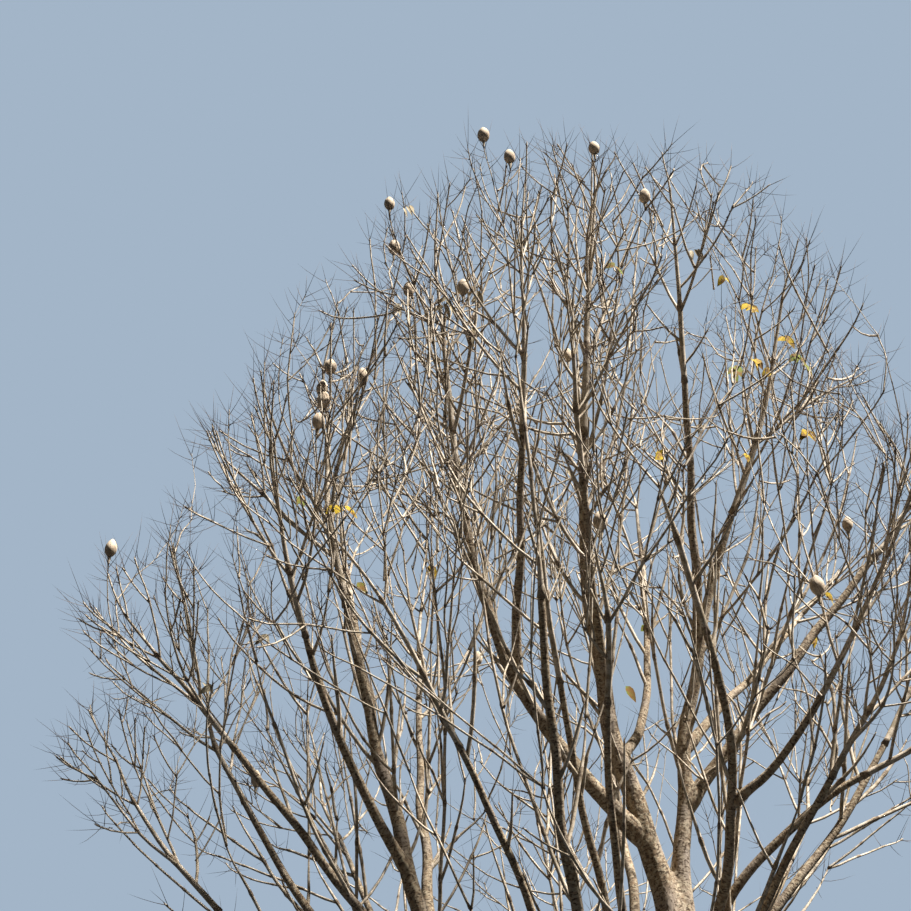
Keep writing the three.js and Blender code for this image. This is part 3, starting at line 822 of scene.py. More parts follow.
    def grow_fine(self, mass, start, end, radius, order, seed):
        """Adds short shoots along a shoot."""
        direction = unit(end - start)
        length = np.linalg.norm(end - start)
        for k, place in enumerate(FINE.places):
            if chance(seed, 70 + k) > FINE.chance[order]:
                continue
            foot = start + (end - start) * around(seed, 74 + k, place, FINE.place_spread)
            azimuth = GOLDEN_TURN * k + TURN * chance(seed, 78)
            tilt = math.radians(around(seed, 80 + k, FINE.tilt, FINE.tilt_spread))
            heading = unit(turned(direction, tilt, azimuth) + UP * FINE.lift)
            tip = foot + heading * around(seed, 84 + k, length * FINE.share, FINE.length_spread)
            probes = foot + (tip - foot) * np.array(FINE.probes)[:, None]
            if self.is_lonely(tip, FINE.apart) and self.is_clear(probes, FINE.radius):
                girth = min(FINE.radius, FINE.girth * radius)
                chain = self.new_chain(mass, len(TWIG.share), direction, mix(seed, 88 + k), True)
                chain.knots += [foot, tip]
                chain.radii += [girth, FINE.thinning * girth]
                self.take(mass, tip, heading, chain.radii[-1])

    def grow_whip(self, mass, start, heading, parent_direction, level, seed):
        """Grows one long shoot knot by knot until it has no room, with side shoots at its knots."""
        if heading[2] < WHIP.least_up:
            return
        steps = round(around(seed, 1, WHIP.steps[level], WHIP.steps_spread))
        radius = WHIP.radius[level]
        knots, radii, headings = [start], [radius], [heading]
        for k in range(steps):
            point = knots[-1] + headings[-1] * around(seed, 10 + k, WHIP.step, WHIP.step_spread)
            first = WHIP.first_probe if k == 0 else WHIP.next_probe
            probes = knots[-1] + (point - knots[-1]) * np.linspace(first, 1, WHIP.probes)[:, None]
            if not self.has_whip_room(probes, radius):
                break
            radius = max(WHIP.thinnest, radius * WHIP.thinning)
            knots.append(point)
            radii.append(radius)
            shake = np.array([2 * chance(seed, 30 + 3 * k + axis) - 1 for axis in range(3)])
            turn = UP * WHIP.rise + parent_direction * WHIP.follow + shake * WHIP.shake
            headings.append(unit(headings[-1] + turn))
        if len(knots) < 2:
            return
        chain = self.new_chain(mass, len(TWIG.share), parent_direction, seed, level > 0)
        chain.knots += knots
        chain.radii += radii
        for k in range(1, len(knots)):
            self.take(mass, knots[k], headings[k - 1], radii[k])
        if level + 1 == len(WHIP.steps):
            return
        for k in range(1, len(knots)):
            if chance(seed, 60 + k) > WHIP.side_chance:
                continue
            last = k == len(knots) - 1
            tilt = WHIP.last_tilt * WHIP.tilt if last else WHIP.tilt
            self.grow_side(mass, knots[k], headings[k - 1], radii[k], tilt, level + 1, k, seed)

    def grow_side(self, mass, knot, along, girth, tilt, level, k, seed):
        """Grows a side whip at a shoot's knot, each turned further round the shoot than the last."""
        azimuth = GOLDEN_TURN * k + TURN * chance(seed, 2)
        heading = turned(along, math.radians(around(seed, 80 + k, tilt, WHIP.tilt_spread)), azimuth)
        foot = knot - along * WHIP.foot_inside * girth
        self.grow_whip(mass, foot, heading, along, level, mix(seed, 100 + k))

    def lead_shoot(self, place, seed, must):
        """Leads a shoot upward to a place from the knot that suits it best, with side shoots."""
        ways = place - self.taken[:self.count]
        lengths = np.linalg.norm(ways, axis=1)
        up = ways[:, 2] / lengths
        ahead = (ways * self.ways[:self.count]).sum(1) / lengths
        costs = lengths * (1 + LED.up_cost * (1 - up) + LED.turn_cost * (1 - ahead))
        fit = lengths > LED.shortest
        if not must:
            fit &= (lengths < LED.longest) & (up > LED.least_up) & (ahead > LED.least_ahead)
            if not fit.any():
                return
        foot = int(np.argmin(np.where(fit, costs, np.inf)))
        mass, start, forward = self.masses[self.owners[foot]], self.taken[foot], self.ways[foot]
        reach = lengths[foot]
        bend = (start + forward * reach * LED.bend + place - UP * reach * LED.rise) / 2
        count = max(3, round(reach / LED.step) + 1)
        knots = path_point(Path(start, bend, place, 1.0, None), np.linspace(0, 1, count))
        girth = min(WHIP.radius[0], LED.girth * self.girths[foot])
        radii = np.linspace(girth, LED.thinning * girth, count)
        if not (must or self.is_clear(knots[1:], girth)):
            return
        chain = self.new_chain(mass, len(TWIG.share), forward, seed, False)
        chain.knots += list(knots)
        chain.radii += list(radii)
        along = unit(np.diff(knots, axis=0))
        for k in range(1, count):
            self.take(mass, knots[k], along[k - 1], radii[k])
        for k in range(1, count):
            if chance(seed, 60 + k) < LED.side_chance:
                self.grow_side(mass, knots[k], along[k - 1], radii[k], WHIP.tilt, 2, k, seed)

    def fill_crown(self):
        """Leads shoots to the places in the crown that are still empty."""
        for index in range(LED.tries):
            seed = mix(index, 11)
            across = CROWN.radius * (2 * chance(seed, 0) - 1)
            deep = CROWN.radius * (2 * chance(seed, 1) - 1)
            height = LED.above + (CROWN.top - LED.above) * chance(seed, 2)
            middle = CROWN.middle_x + CROWN.lean * (height - CROWN.lean_from)
            place = np.array([middle + across, deep, height])
            apart = np.interp(self.openness(place), FULL_USUAL_OPEN, LED.apart)
            if in_reach(place[None]) and self.is_lonely(place, apart):
                self.lead_shoot(place, seed, False)

    def whip_shoot(self, mass, start, end, order, seed):
        """Grows whips from a shoot of the mass."""
        direction = unit(end - start)
        for k, place in enumerate(WHIP.places):
            keep = 1 - WHIP.sparse * min(1, self.openness(end))
            if chance(seed, 700 + k) > WHIP.on_shoots[order] * keep:
                continue
            foot = start + (end - start) * around(seed, 704 + k, place, WHIP.place_spread)
            azimuth = TURN * chance(seed, 706) + math.pi * k
            tilt = math.radians(around(seed, 708 + k, WHIP.tilt, WHIP.tilt_spread))
            level = 1 if order < 2 else 2
            self.grow_whip(mass, foot, turned(direction, tilt, azimuth), direction, level, mix(seed, 710 + k))

    def grow_whips(self, mass):
        """Grows whips along the bare part of the mass's own limb."""
        line = limb_line(mass.limb.name, WHIP.foot_step)
        place = WHIP.first
        k = 0
        while place < line.along[-1]:
            i = min(int(np.searchsorted(line.along, place)), len(line.along) - 1)
            seed = mix(mass.seed, 300 + k)
            tilt = math.radians(around(seed, 3, WHIP.tilt, WHIP.tilt_spread))
            heading = unit(turned(line.forward[i], tilt, GOLDEN_TURN * k) + UP * WHIP.upturn)
            self.grow_whip(mass, line.points[i], heading, line.forward[i], 0, seed)
            place += around(mass.seed, 100 + k, WHIP.spacing, WHIP.spacing_spread)
            k += 1


@functools.cache
def growth():
    return Growth()


def masses_on(stem):
    """The masses whose limbs a stem carries."""
    return [mass for mass in growth().masses if family(mass.limb.name) == stem]


# Smooth lines through a chain's knots, with swollen knots where it forks
def chain_line(chain):
    """Points, radii and band tones (1 at a knot, 0 between) of one chain."""
    knots = np.array(chain.knots)
    steps = np.diff(knots, axis=0)
    lengths = np.linalg.norm(steps, axis=1)
    first = unit(steps[0])
    away = first - chain.parent_direction * (first @ chain.parent_direction)
    tangents = np.empty_like(knots)
    tangents[0] = unit(first + OUTWARD * away) * lengths[0]
    tangents[1:-1] = (knots[2:] - knots[:-2]) / 2
    tangents[-1] = steps[-1] + UP * UPTURN * lengths[-1]
    for i in range(len(knots)):
        shake = [2 * chance(chain.seed, 400 + 3 * i + axis) - 1 for axis in range(3)]
        tangents[i] += np.array(shake) * WANDER * lengths[min(i, len(lengths) - 1)]
    points, radii, tones = [], [], []
    for i, length in enumerate(lengths):
        near = min(KNOT["widest"], KNOT["length"] * chain.radii[i] / length)
        shares = np.array([0, near, *KNOT["between"], 1 - near])
        swell = np.array([KNOT["base"] if i == 0 else KNOT["swell"], 0, 0, 0, KNOT["before"]])
        a, b = shares[:, None], 1 - shares[:, None]
        points.append(
            knots[i] * b * b * (1 + 2 * a) + tangents[i] * a * b * b
            + knots[i + 1] * a * a * (3 - 2 * a) - tangents[i + 1] * a * a * b
        )
        radii.append((chain.radii[i] + (chain.radii[i + 1] - chain.radii[i]) * shares) * (1 + swell))
        tones += KNOT["tones"]
    tip = unit(tangents[-1])
    last = chain.radii[-1]
    points.append(np.array([knots[-1], knots[-1] + tip * BUD["neck"] * last]))
    radii.append(np.array(BUD["girths"]) * last)
    tones += [0, 1]
    return np.concatenate(points), np.concatenate(radii), tones, knots[-1] + tip * BUD["point"] * last


# Skins: tubes swept along lines and gathered into one triangle mesh
def tube_faces(rows, sides):
    """Triangles of a closed tube: its walls, its foot and its end. The foot's middle point comes
    after the rings, and the end's after that."""
    side = np.arange(sides)
    beside = (side + 1) % sides
    starts = np.arange(rows - 1)[:, None] * sides
    here = (starts + side).ravel()
    there = (starts + beside).ravel()
    last = (rows - 1) * sides
    foot = np.full(sides, rows * sides)
    return np.concatenate([
        np.stack([here, there, there + sides], axis=1),
        np.stack([here, there + sides, here + sides], axis=1),
        np.stack([foot, beside, side], axis=1),
        np.stack([last + side, last + beside, foot + 1], axis=1),
    ])


class Skin:
    """Points, triangles and tones gathered for one piece."""

    def __init__(self):
        self.points = []
        self.faces = []
        self.tones = []
        self.count = 0

    def add(self, points, faces, tones):
        self.points.append(points)
        self.faces.append(faces + self.count)
        self.tones.append(np.broadcast_to(tones, len(faces)))
        self.count += len(points)

    def sweep(self, line, radii, tip, sides, tones):
        """A closed tube along a line that ends in a point at `tip`."""
        forward = unit(np.gradient(line, axis=0))
        reference = np.eye(3)[int(np.argmin(np.abs(forward).max(axis=0)))]
        across = unit(np.cross(forward, reference))
        over = np.cross(forward, across)
        angles = TURN * np.arange(sides) / sides
        ring = across[:, None] * np.cos(angles)[:, None] + over[:, None] * np.sin(angles)[:, None]
        rings = line[:, None] + ring * radii[:, None, None]
        rows = len(line)
        points = np.concatenate([rings.reshape(-1, 3), line[:1], [tip]])
        wall = np.repeat(np.asarray(tones)[:rows - 1], sides)
        ends = np.repeat([tones[0], tones[-1]], sides)
        self.add(points, tube_faces(rows, sides), np.concatenate([wall, wall, ends]))

    def build(self, name, materials):
        """One mesh object, its faces in the material that their tone names."""
        mesh = bpy.data.meshes.new(name)
        mesh.from_pydata(np.concatenate(self.points), [], np.concatenate(self.faces), shade_flat=False)
        for material in materials:
            mesh.materials.append(material)
        mesh.polygons.foreach_set("material_index", np.concatenate(self.tones).astype(np.int32))
        mesh.update()
        piece = bpy.data.objects.new(name, mesh)
        bpy.context.scene.collection.objects.link(piece)
        return piece


def finish_piece(piece, nodes=()):
    """Makes a piece ride with the tree and stand for its nodes."""
    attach(piece, "root")
    if nodes:
        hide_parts(*nodes)


# Colours and materials. A mottled surface has the real sizes of its patches and its flecks, and
# a roughness. The comments say what each surface gives the eye.
class Mottle(NamedTuple):
    patch: float
    fleck: float
    roughness: float


MOTTLES = {
    # Smooth young bark that catches the sun, with darker patches and fine brown freckles
    "young mahogany bark": Mottle(0.06, 0.012, 0.8),
    # Darker, rougher rings of scars, with painted shade where shoots fork, which make each shoot look jointed
    "scarred and shade painted knot bark": Mottle(0.02, 0.008, 0.9),
    # Near black lines against the sky that still turn brown in the sun
    "dry leaf stalk": Mottle(0.1, 0.02, 0.75),
    # A few warmer brown lines among them
    "young leaf stalk": Mottle(0.1, 0.02, 0.75),
    # A pale, dusty brown shell with a scurf of fine lighter specks
    "scurfy woody husk": Mottle(0.05, 0.006, 0.85),
    # Bark like the shoots', a shade darker under the pale capsules
    "thick fruit stalk bark": Mottle(0.04, 0.01, 0.85),
    # Bright golden spots of colour in the crown, browning in places
    "yellow leaflet": Mottle(0.05, 0.015, 0.85),
    # Dull olive, with the same brown places
    "green leaflet": Mottle(0.05, 0.015, 0.85),
    # Papery straw colour, faded unevenly
    "dry leaflet": Mottle(0.05, 0.015, 0.85),
    # Brown stalks that tie the leaflets to the shoots
    "leaf stalk with leaflets": Mottle(0.1, 0.02, 0.75),
}
# The values between which patches and flecks show, and how much wider than high flecks are
PATCH_EDGE = (0.45, 0.62)
FLECK_EDGE = (0.56, 0.68)
FLECK_FLATNESS = 6

BARK = "sun weathered mahogany bark"
# Each pattern's size across the limb and along it, and its detail
BARK_PATTERNS = {
    "plates": (0.03, 0.024, 6), "grooves": (0.03, 0.06, 4),
    "bands": (0.028, 0.013, 4), "weather": (0.2, 0.35, 4),
}
# What lies over the bark's middle tone: the pattern, the values between which it shows, its colour
BARK_LAYERS = (
    ("plates", 0.44, 0.56, "pale"), ("weather", 0.48, 0.7, "weathered"),
    ("bands", 0.53, 0.62, "groove"), ("grooves", 0.4, 0.33, "groove"),
)


def colour(hex_text):
    """A linear colour from an sRGB hex value."""
    parts = [int(hex_text[i:i + 2], 16) / 255 for i in (1, 3, 5)]
    linear = [p / 12.92 if p <= 0.04045 else ((p + 0.055) / 1.055) ** 2.4 for p in parts]
    return (*linear, 1.0)


def add_node(tree, kind, inputs=(), **settings):
    """Adds a node with its settings, its inputs filled by values or by other nodes' outputs."""
    node = tree.nodes.new(kind)
    for name, value in settings.items():
        setattr(node, name, value)
    for key, value in dict(inputs).items():
        if isinstance(value, bpy.types.NodeSocket):
            tree.links.new(value, node.inputs[key])
        else:
            node.inputs[key].default_value = value
    return node


def new_material(name):
    """An empty material, its node tree and its surface shader."""
    material = bpy.data.materials.new(name)
    material.use_nodes = True
    tree = material.node_tree
    tree.nodes.clear()
    shader = add_node(tree, "ShaderNodeBsdfPrincipled", {"IOR": 1.45, "Specular IOR Level": 0.3})
    add_node(tree, "ShaderNodeOutputMaterial", {"Surface": shader.outputs[0]})
    return material, tree, shader


def layer_colours(tree, tone, layers):
    """Lays colours over a tone, each where its pattern's value passes from low to high."""
    for value, low, high, over in layers:
        mask = add_node(tree, "ShaderNodeMapRange", {"Value": value, 1: low, 2: high})
        inputs = {0: mask.outputs[0], 6: tone, 7: colour(over)}
        tone = add_node(tree, "ShaderNodeMix", inputs, data_type="RGBA").outputs[2]
    return tone


def mottled_material(name, base, patch, fleck):
    """A dull surface with broad patches and small flecks of two other colours, and a faint grain."""
    sizes = MOTTLES[name]
    material, tree, shader = new_material(name)
    place = add_node(tree, "ShaderNodeTexCoord").outputs["Object"]
    patches = add_node(tree, "ShaderNodeTexNoise", {"Vector": place, "Scale": 1 / sizes.patch, "Detail": 3})
    flecks = add_node(tree, "ShaderNodeTexNoise", {"Vector": place, "Scale": 1 / sizes.fleck, "Detail": 4})
    grain = flecks.outputs[0]
    tone = layer_colours(tree, colour(base), [
        (patches.outputs[0], *PATCH_EDGE, patch),
        (grain, *FLECK_EDGE, fleck),
    ])
    height = {"Strength": 0.35, "Distance": sizes.fleck / FLECK_FLATNESS, "Height": grain}
    bump = add_node(tree, "ShaderNodeBump", height)
    tree.links.new(tone, shader.inputs["Base Color"])
    tree.links.new(bump.outputs[0], shader.inputs["Normal"])
    shader.inputs["Roughness"].default_value = sizes.roughness
    return material


def bark_material(settings):
    """Old mahogany bark, weathered in dry sun: grey-tan plates, dark grooves along the limb and
    short pale and dark lines across it. It reads the grain attribute, which runs along each limb."""
    material, tree, shader = new_material(BARK)
    grain = add_node(tree, "ShaderNodeAttribute", attribute_name="grain").outputs["Vector"]
    patterns = {}
    for name, (across, along, detail) in BARK_PATTERNS.items():
        sizes = {"Vector": grain, "Scale": (1 / across, 1 / across, 1 / along)}
        scaled = add_node(tree, "ShaderNodeMapping", sizes).outputs[0]
        inputs = {"Vector": scaled, "Scale": 1.0, "Detail": detail}
        patterns[name] = add_node(tree, "ShaderNodeTexNoise", inputs).outputs[0]
    tone = layer_colours(tree, colour(settings.mid), [
        (patterns[name], low, high, getattr(settings, over)) for name, low, high, over in BARK_LAYERS
    ])
    inputs = {0: patterns["plates"], 1: patterns["grooves"]}
    height = add_node(tree, "ShaderNodeMath", inputs, operation="ADD").outputs[0]
    inputs = {0: patterns["bands"], 1: 0.5, 2: height}
    ridges = add_node(tree, "ShaderNodeMath", inputs, operation="MULTIPLY_ADD").outputs[0]
    bump = add_node(tree, "ShaderNodeBump", {"Strength": 0.8, "Distance": 0.006, "Height": ridges})
    tree.links.new(tone, shader.inputs["Base Color"])
    tree.links.new(bump.outputs[0], shader.inputs["Normal"])
    shader.inputs["Roughness"].default_value = 0.9
    return material


# Settings that a user would change
def colour_property(name, description, default):
    return bpy.props.StringProperty(name=name, description=description, default=default)


def length_property(name, description, default):
    return bpy.props.FloatProperty(name=name, description=description, default=default, unit="LENGTH")


def number_property(name, description, default):
    kind = bpy.props.IntProperty if isinstance(default, int) else bpy.props.FloatProperty
    return kind(name=name, description=description, default=default)


class BarkSettings(bpy.types.PropertyGroup):
    cell: length_property("Cell", "Size of the mesh cells on the stems", 0.0128)
    relief: length_property("Relief", "Depth of the bark's grooves on the thickest wood", 0.007)
    pale: colour_property("Pale", "Plates that the sun has bleached", "#A89A82")
    mid: colour_property("Middle", "Plates in their usual tone", "#84715A")
    weathered: colour_property("Weathered", "Greyer patches", "#93877A")
    groove: colour_property("Groove", "Grooves and cracks", "#4F4133")


class TwigSettings(bpy.types.PropertyGroup):
    shoot: colour_property("Shoot", "Bark of the shoots", "#BFB29F")
    shoot_patch: colour_property("Patch", "Darker patches on the shoots", "#94866F")
    # The knot colour is scarred bark, darkened as painted shade where a shoot forks
    knot: colour_property("Knot", "Scarred bark where a shoot forks", "#6C5C4D")
    stem_sides: number_property("Stem sides", "Sides of the thickest shoots", 8)
    shoot_sides: number_property("Shoot sides", "Sides of the other shoots", 5)
    fine_sides: number_property("Fine sides", "Sides of the finest shoots", 4)


class StalkSettings(bpy.types.PropertyGroup):
    fewest: number_property("Fewest", "Fewest leaf stalks at a tip", 4)
    most: number_property("Most", "Most leaf stalks at a tip", 9)
    length: length_property("Length", "Length of an average leaf stalk", 0.255)
    radius: length_property("Radius", "Radius at a leaf stalk's foot", 0.0024)
    bare_inside: number_property(
        "Bare inside", "Share of the way to the crown's skin where few stalks are left", 0.72
    )
    crowd_reach: length_property("Crowd reach", "How near tips crowd each other", 0.3)
    crowd: number_property("Crowd", "Tips within that reach before each keeps fewer stalks", 3.5)
    dark: colour_property("Dark", "Leaf stalks that have dried dark", "#372A21")
    brown: colour_property("Brown", "Younger leaf stalks", "#5A4839")


class CapsuleSettings(bpy.types.PropertyGroup):
    radius: length_property("Radius", "Radius of a capsule", 0.052)
    height: length_property("Height", "Height of a capsule", 0.158)
    stalk: length_property("Stalk", "Length of its stalk", 0.07)
    husk: colour_property("Husk", "Sunlit husk", "#C4B29A")
    husk_patch: colour_property("Husk patch", "Browner husk", "#A5917A")
    husk_fleck: colour_property("Husk fleck", "Scurf on the husk", "#D2C4AE")


class LeafSettings(bpy.types.PropertyGroup):
    length: length_property("Length", "Length of a leaflet", 0.112)
    width: length_property("Width", "Width of a leaflet", 0.07)
    sunward: bpy.props.FloatVectorProperty(
        name="Sunward", description="The way most leaflets face", default=(0.4, -0.88, 0.2),
        subtype="DIRECTION",
    )
    yellow: colour_property("Yellow", "Leaflets about to fall", "#B69A1A")
    green: colour_property("Green", "Leaflets that are still green", "#6E7A2C")
    dry: colour_property("Dry", "Leaflets that have dried on the tree", "#BDB196")
    spot: colour_property("Spot", "Brown spots on yellow and green leaflets", "#7A5A2A")
    dry_spot: colour_property("Dry spot", "Browner parts of dry leaflets", "#988869")


class StageSettings(bpy.types.PropertyGroup):
    floor: colour_property("Floor", "Floor under the tree", "#696A6C")
    backdrop: colour_property("Backdrop", "Plain backdrop", "#A3B5C8")
    sky: colour_property("Sky", "Light from all round", "#E6EBF0")
    key: number_property("Key", "Strength of the key light", 15.0)
    fill: number_property("Fill", "Strength of the light from all round", 0.09)


# The trunk and the main stems, with smooth forks
def deselect_all():
    bpy.ops.object.select_all(action="DESELECT")


def make_active(piece):
    deselect_all()
    piece.select_set(True)
    bpy.context.view_layer.objects.active = piece


def add_tube(name, line, radii, rings):
    """A round, capped tube along a line, made as a curve with a bevel and turned into a mesh."""
    deselect_all()
    bpy.ops.curve.primitive_bezier_curve_add(location=(0, 0, 0))
    tube = bpy.context.object
    tube.name = name
    data = tube.data
    data.splines.clear()
    spline = data.splines.new("POLY")
    spline.points.add(len(line) - 1)
    spline.points.foreach_set("co", np.column_stack([line, np.ones(len(line))]).ravel())
    spline.points.foreach_set("radius", radii)
    data.dimensions = "3D"
    data.twist_mode = "MINIMUM"
    data.bevel_depth = 1.0
    data.bevel_resolution = rings
    data.use_fill_caps = True
    make_active(tube)
    bpy.ops.object.convert(target="MESH")
    return bpy.context.object


def vertex_array(mesh, normals=False):
    """A mesh's points, or its normals, one in a row."""
    source, key = (mesh.vertex_normals, "vector") if normals else (mesh.vertices, "co")
    values = np.empty(len(mesh.vertices) * 3, np.float32)
    source.foreach_get(key, values)
    return values.reshape(-1, 3).astype(float)


def set_vertices(mesh, points):
    mesh.vertices.foreach_set("co", points.astype(np.float32).ravel())
    mesh.update()


def swell_roots(piece):
    """Root flare with lobes, as the source's trunk has."""
    points = vertex_array(piece.data)
    height = np.maximum(points[:, 2], 0)
    t = np.clip(height / TRUNK.top[2], 0, 1)
    middle = path_point(PATHS["trunk"], t)
    offset = points - middle
    angle = np.arctan2(offset[:, 1], offset[:, 0])
    lobe = 1 + TRUNK.lobe_depth * np.cos(TRUNK.lobes * angle)
    grow = 1 + TRUNK.flare * np.exp(-height / TRUNK.flare_height) * lobe
    points[:, :2] = middle[:, :2] + offset[:, :2] * grow[:, None]
    set_vertices(piece.data, points)


def set_grain(mesh, names, relief):
    """Stores each vertex's place across and along its limb, and lifts the bark by its relief."""
    lines = [limb_line(name, WOOD.grain_spacing) for name in names]
    keys = ("points", "radii", "forward", "side", "normal")
    points, radii, forward, side, normal = (
        np.concatenate([getattr(line, key) for line in lines]) for key in keys
    )
    along = np.concatenate([line.along + WOOD.grain_shift * i for i, line in enumerate(lines)])
    tree = kdtree.KDTree(len(points))
    for i, point in enumerate(points):
        tree.insert(point, i)
    tree.balance()
    vertices = vertex_array(mesh)
    nearest = np.array([tree.find(point)[1] for point in vertices])
    offset = vertices - points[nearest]
    grain = np.stack([
        (offset * side[nearest]).sum(1),
        (offset * normal[nearest]).sum(1),
        along[nearest] + (offset * forward[nearest]).sum(1),
    ], axis=1)
    depth = relief * np.clip(radii[nearest] / RELIEF.full_radius, RELIEF.least, 1)
    lift = np.array([bark_height(Vector(place)) for place in grain])
    vertices += vertex_array(mesh, normals=True) * (lift * depth)[:, None]
    set_vertices(mesh, vertices)
    attribute = mesh.attributes.new("grain", "FLOAT_VECTOR", "POINT")
    attribute.data.foreach_set("vector", grain.astype(np.float32).ravel())


def bark_height(place):
    """Height of the bark, from about -1 in a groove to at most 0.75 on a plate."""
    groove, lump, ring = (
        noise.noise(Vector((place.x / across, place.y / across, place.z / along + shift)))
        for across, along, shift in (RELIEF.groove, RELIEF.lump, RELIEF.ring)
    )
    return RELIEF.lumps * lump + RELIEF.rings * ring - max(0.0, 1 - abs(groove) / RELIEF.groove_width)


def join_tubes(tubes, name):
    """One piece of that name, made of the tubes."""
    deselect_all()
    for tube in tubes:
        tube.select_set(True)
    bpy.context.view_layer.objects.active = tubes[0]
    bpy.ops.object.join()
    piece = bpy.context.object
    piece.name = piece.data.name = name
    return piece


def finish_wood(piece, bark, nodes):
    """Gives a piece its smooth shading and its bark."""
    piece.data.polygons.foreach_set("use_smooth", np.ones(len(piece.data.polygons), bool))
    piece.data.materials.clear()
    piece.data.materials.append(bark)
    finish_piece(piece, nodes)


class MAHOGANY_OT_stems(bpy.types.Operator):
    """Trunk, left stem and the two leaders, grown together at their forks"""
    bl_idname = "mahogany.stems"
    bl_label = "Trunk and Stems"

    def execute(self, context):
        settings = context.scene.mahogany_bark
        tubes = []
        for name in STEMS:
            line = limb_line(name, WOOD.stem_spacing)
            points, radii = line.points, line.radii
            if name == "trunk":
                end = np.clip(1 - (line.along[-1] - line.along) / WOOD.top_length, 0, 1)
                radii = radii * (1 - WOOD.top_narrows * end ** WOOD.top_power)
                points = np.concatenate([points[:1] - UP * WOOD.below_ground, points])
                radii = np.concatenate([radii[:1], radii])
            tube = add_tube(name + "_tube", points, radii, WOOD.stem_rings)
            if name == "trunk":
                swell_roots(tube)
            tubes.append(tube)
        for limb in LIMBS:
            if limb.on in STEMS and limb.name not in STEMS:
                line = limb_line(limb.name, WOOD.stem_spacing)
                stub = line.along < WOOD.stub_length
                narrowing = 1 - WOOD.stub_narrows * line.along[stub] / WOOD.stub_length
                radii = line.radii[stub] * narrowing
                tubes.append(add_tube("stub", line.points[stub], radii, WOOD.stub_rings))
        piece = join_tubes(tubes, "trunk_and_stems")
        remesh = piece.modifiers.new("grow together", "REMESH")
        remesh.mode = "VOXEL"
        remesh.voxel_size = settings.cell
        bpy.ops.object.modifier_apply(modifier=remesh.name)
        smooth = piece.modifiers.new("soften forks", "SMOOTH")
        smooth.iterations = WOOD.smoothing
        bpy.ops.object.modifier_apply(modifier=smooth.name)
        set_grain(piece.data, STEMS, settings.relief)
        bpy.ops.object.mode_set(mode="EDIT")
        bpy.ops.mesh.select_all(action="SELECT")
        bpy.ops.mesh.bisect(plane_co=(0, 0, 0), plane_no=(0, 0, 1), clear_inner=True, use_fill=True)
        bpy.ops.object.mode_set(mode="OBJECT")
        set_vertices(piece.data, np.maximum(vertex_array(piece.data), (-np.inf, -np.inf, 0)))
        finish_wood(piece, bark_material(settings), STEMS)
        return {"FINISHED"}


class MAHOGANY_OT_boughs(bpy.types.Operator):
    """Every other limb, one tapering tube each, joined by the stem that carries them"""
    bl_idname = "mahogany.boughs"
    bl_label = "Boughs"

    def execute(self, context):
        settings = context.scene.mahogany_bark
        bark = bpy.data.materials.get(BARK) or bark_material(settings)
        for stem in STEMS:
            names = [limb.name for limb in LIMBS if limb.name not in STEMS and family(limb.name) == stem]
            tubes = []
            for name in names:
                line = limb_line(name, WOOD.bough_spacing)
                tube = add_tube(name + "_tube", line.points, line.radii, WOOD.bough_rings)
                set_grain(tube.data, [name], settings.relief)
                tubes.append(tube)
            finish_wood(join_tubes(tubes, stem + "_boughs"), bark, names)
        return {"FINISHED"}


class MAHOGANY_OT_shoots(bpy.types.Operator):
    """All shoots, joined by the stem that carries them"""
    bl_idname = "mahogany.shoots"
    bl_label = "Shoots"

    def execute(self, context):
        settings = context.scene.mahogany_twigs
        shoot = mottled_material("young mahogany bark", settings.shoot, settings.shoot_patch, settings.knot)
        # The knot material darkens the knots: real scars, and painted shade where shoots fork
        knot = mottled_material("scarred and shade painted knot bark", settings.knot, settings.shoot_patch, settings.shoot)
        for stem in STEMS:
            skin = Skin()
            masses = masses_on(stem)
            for mass in masses:
                for chain in mass.chains:
                    points, radii, tones, tip = chain_line(chain)
                    skin.sweep(points, radii, tip, self.sides(chain, settings), tones)
            piece = skin.build(stem + "_shoots", [shoot, knot])
            finish_piece(piece, [mass.limb.name + "_twigs" for mass in masses])
        return {"FINISHED"}

    def sides(self, chain, settings):
        """How many sides a chain's tube has."""
        if chain.fine:
            return settings.fine_sides
        return settings.stem_sides if chain.order == 0 else settings.shoot_sides


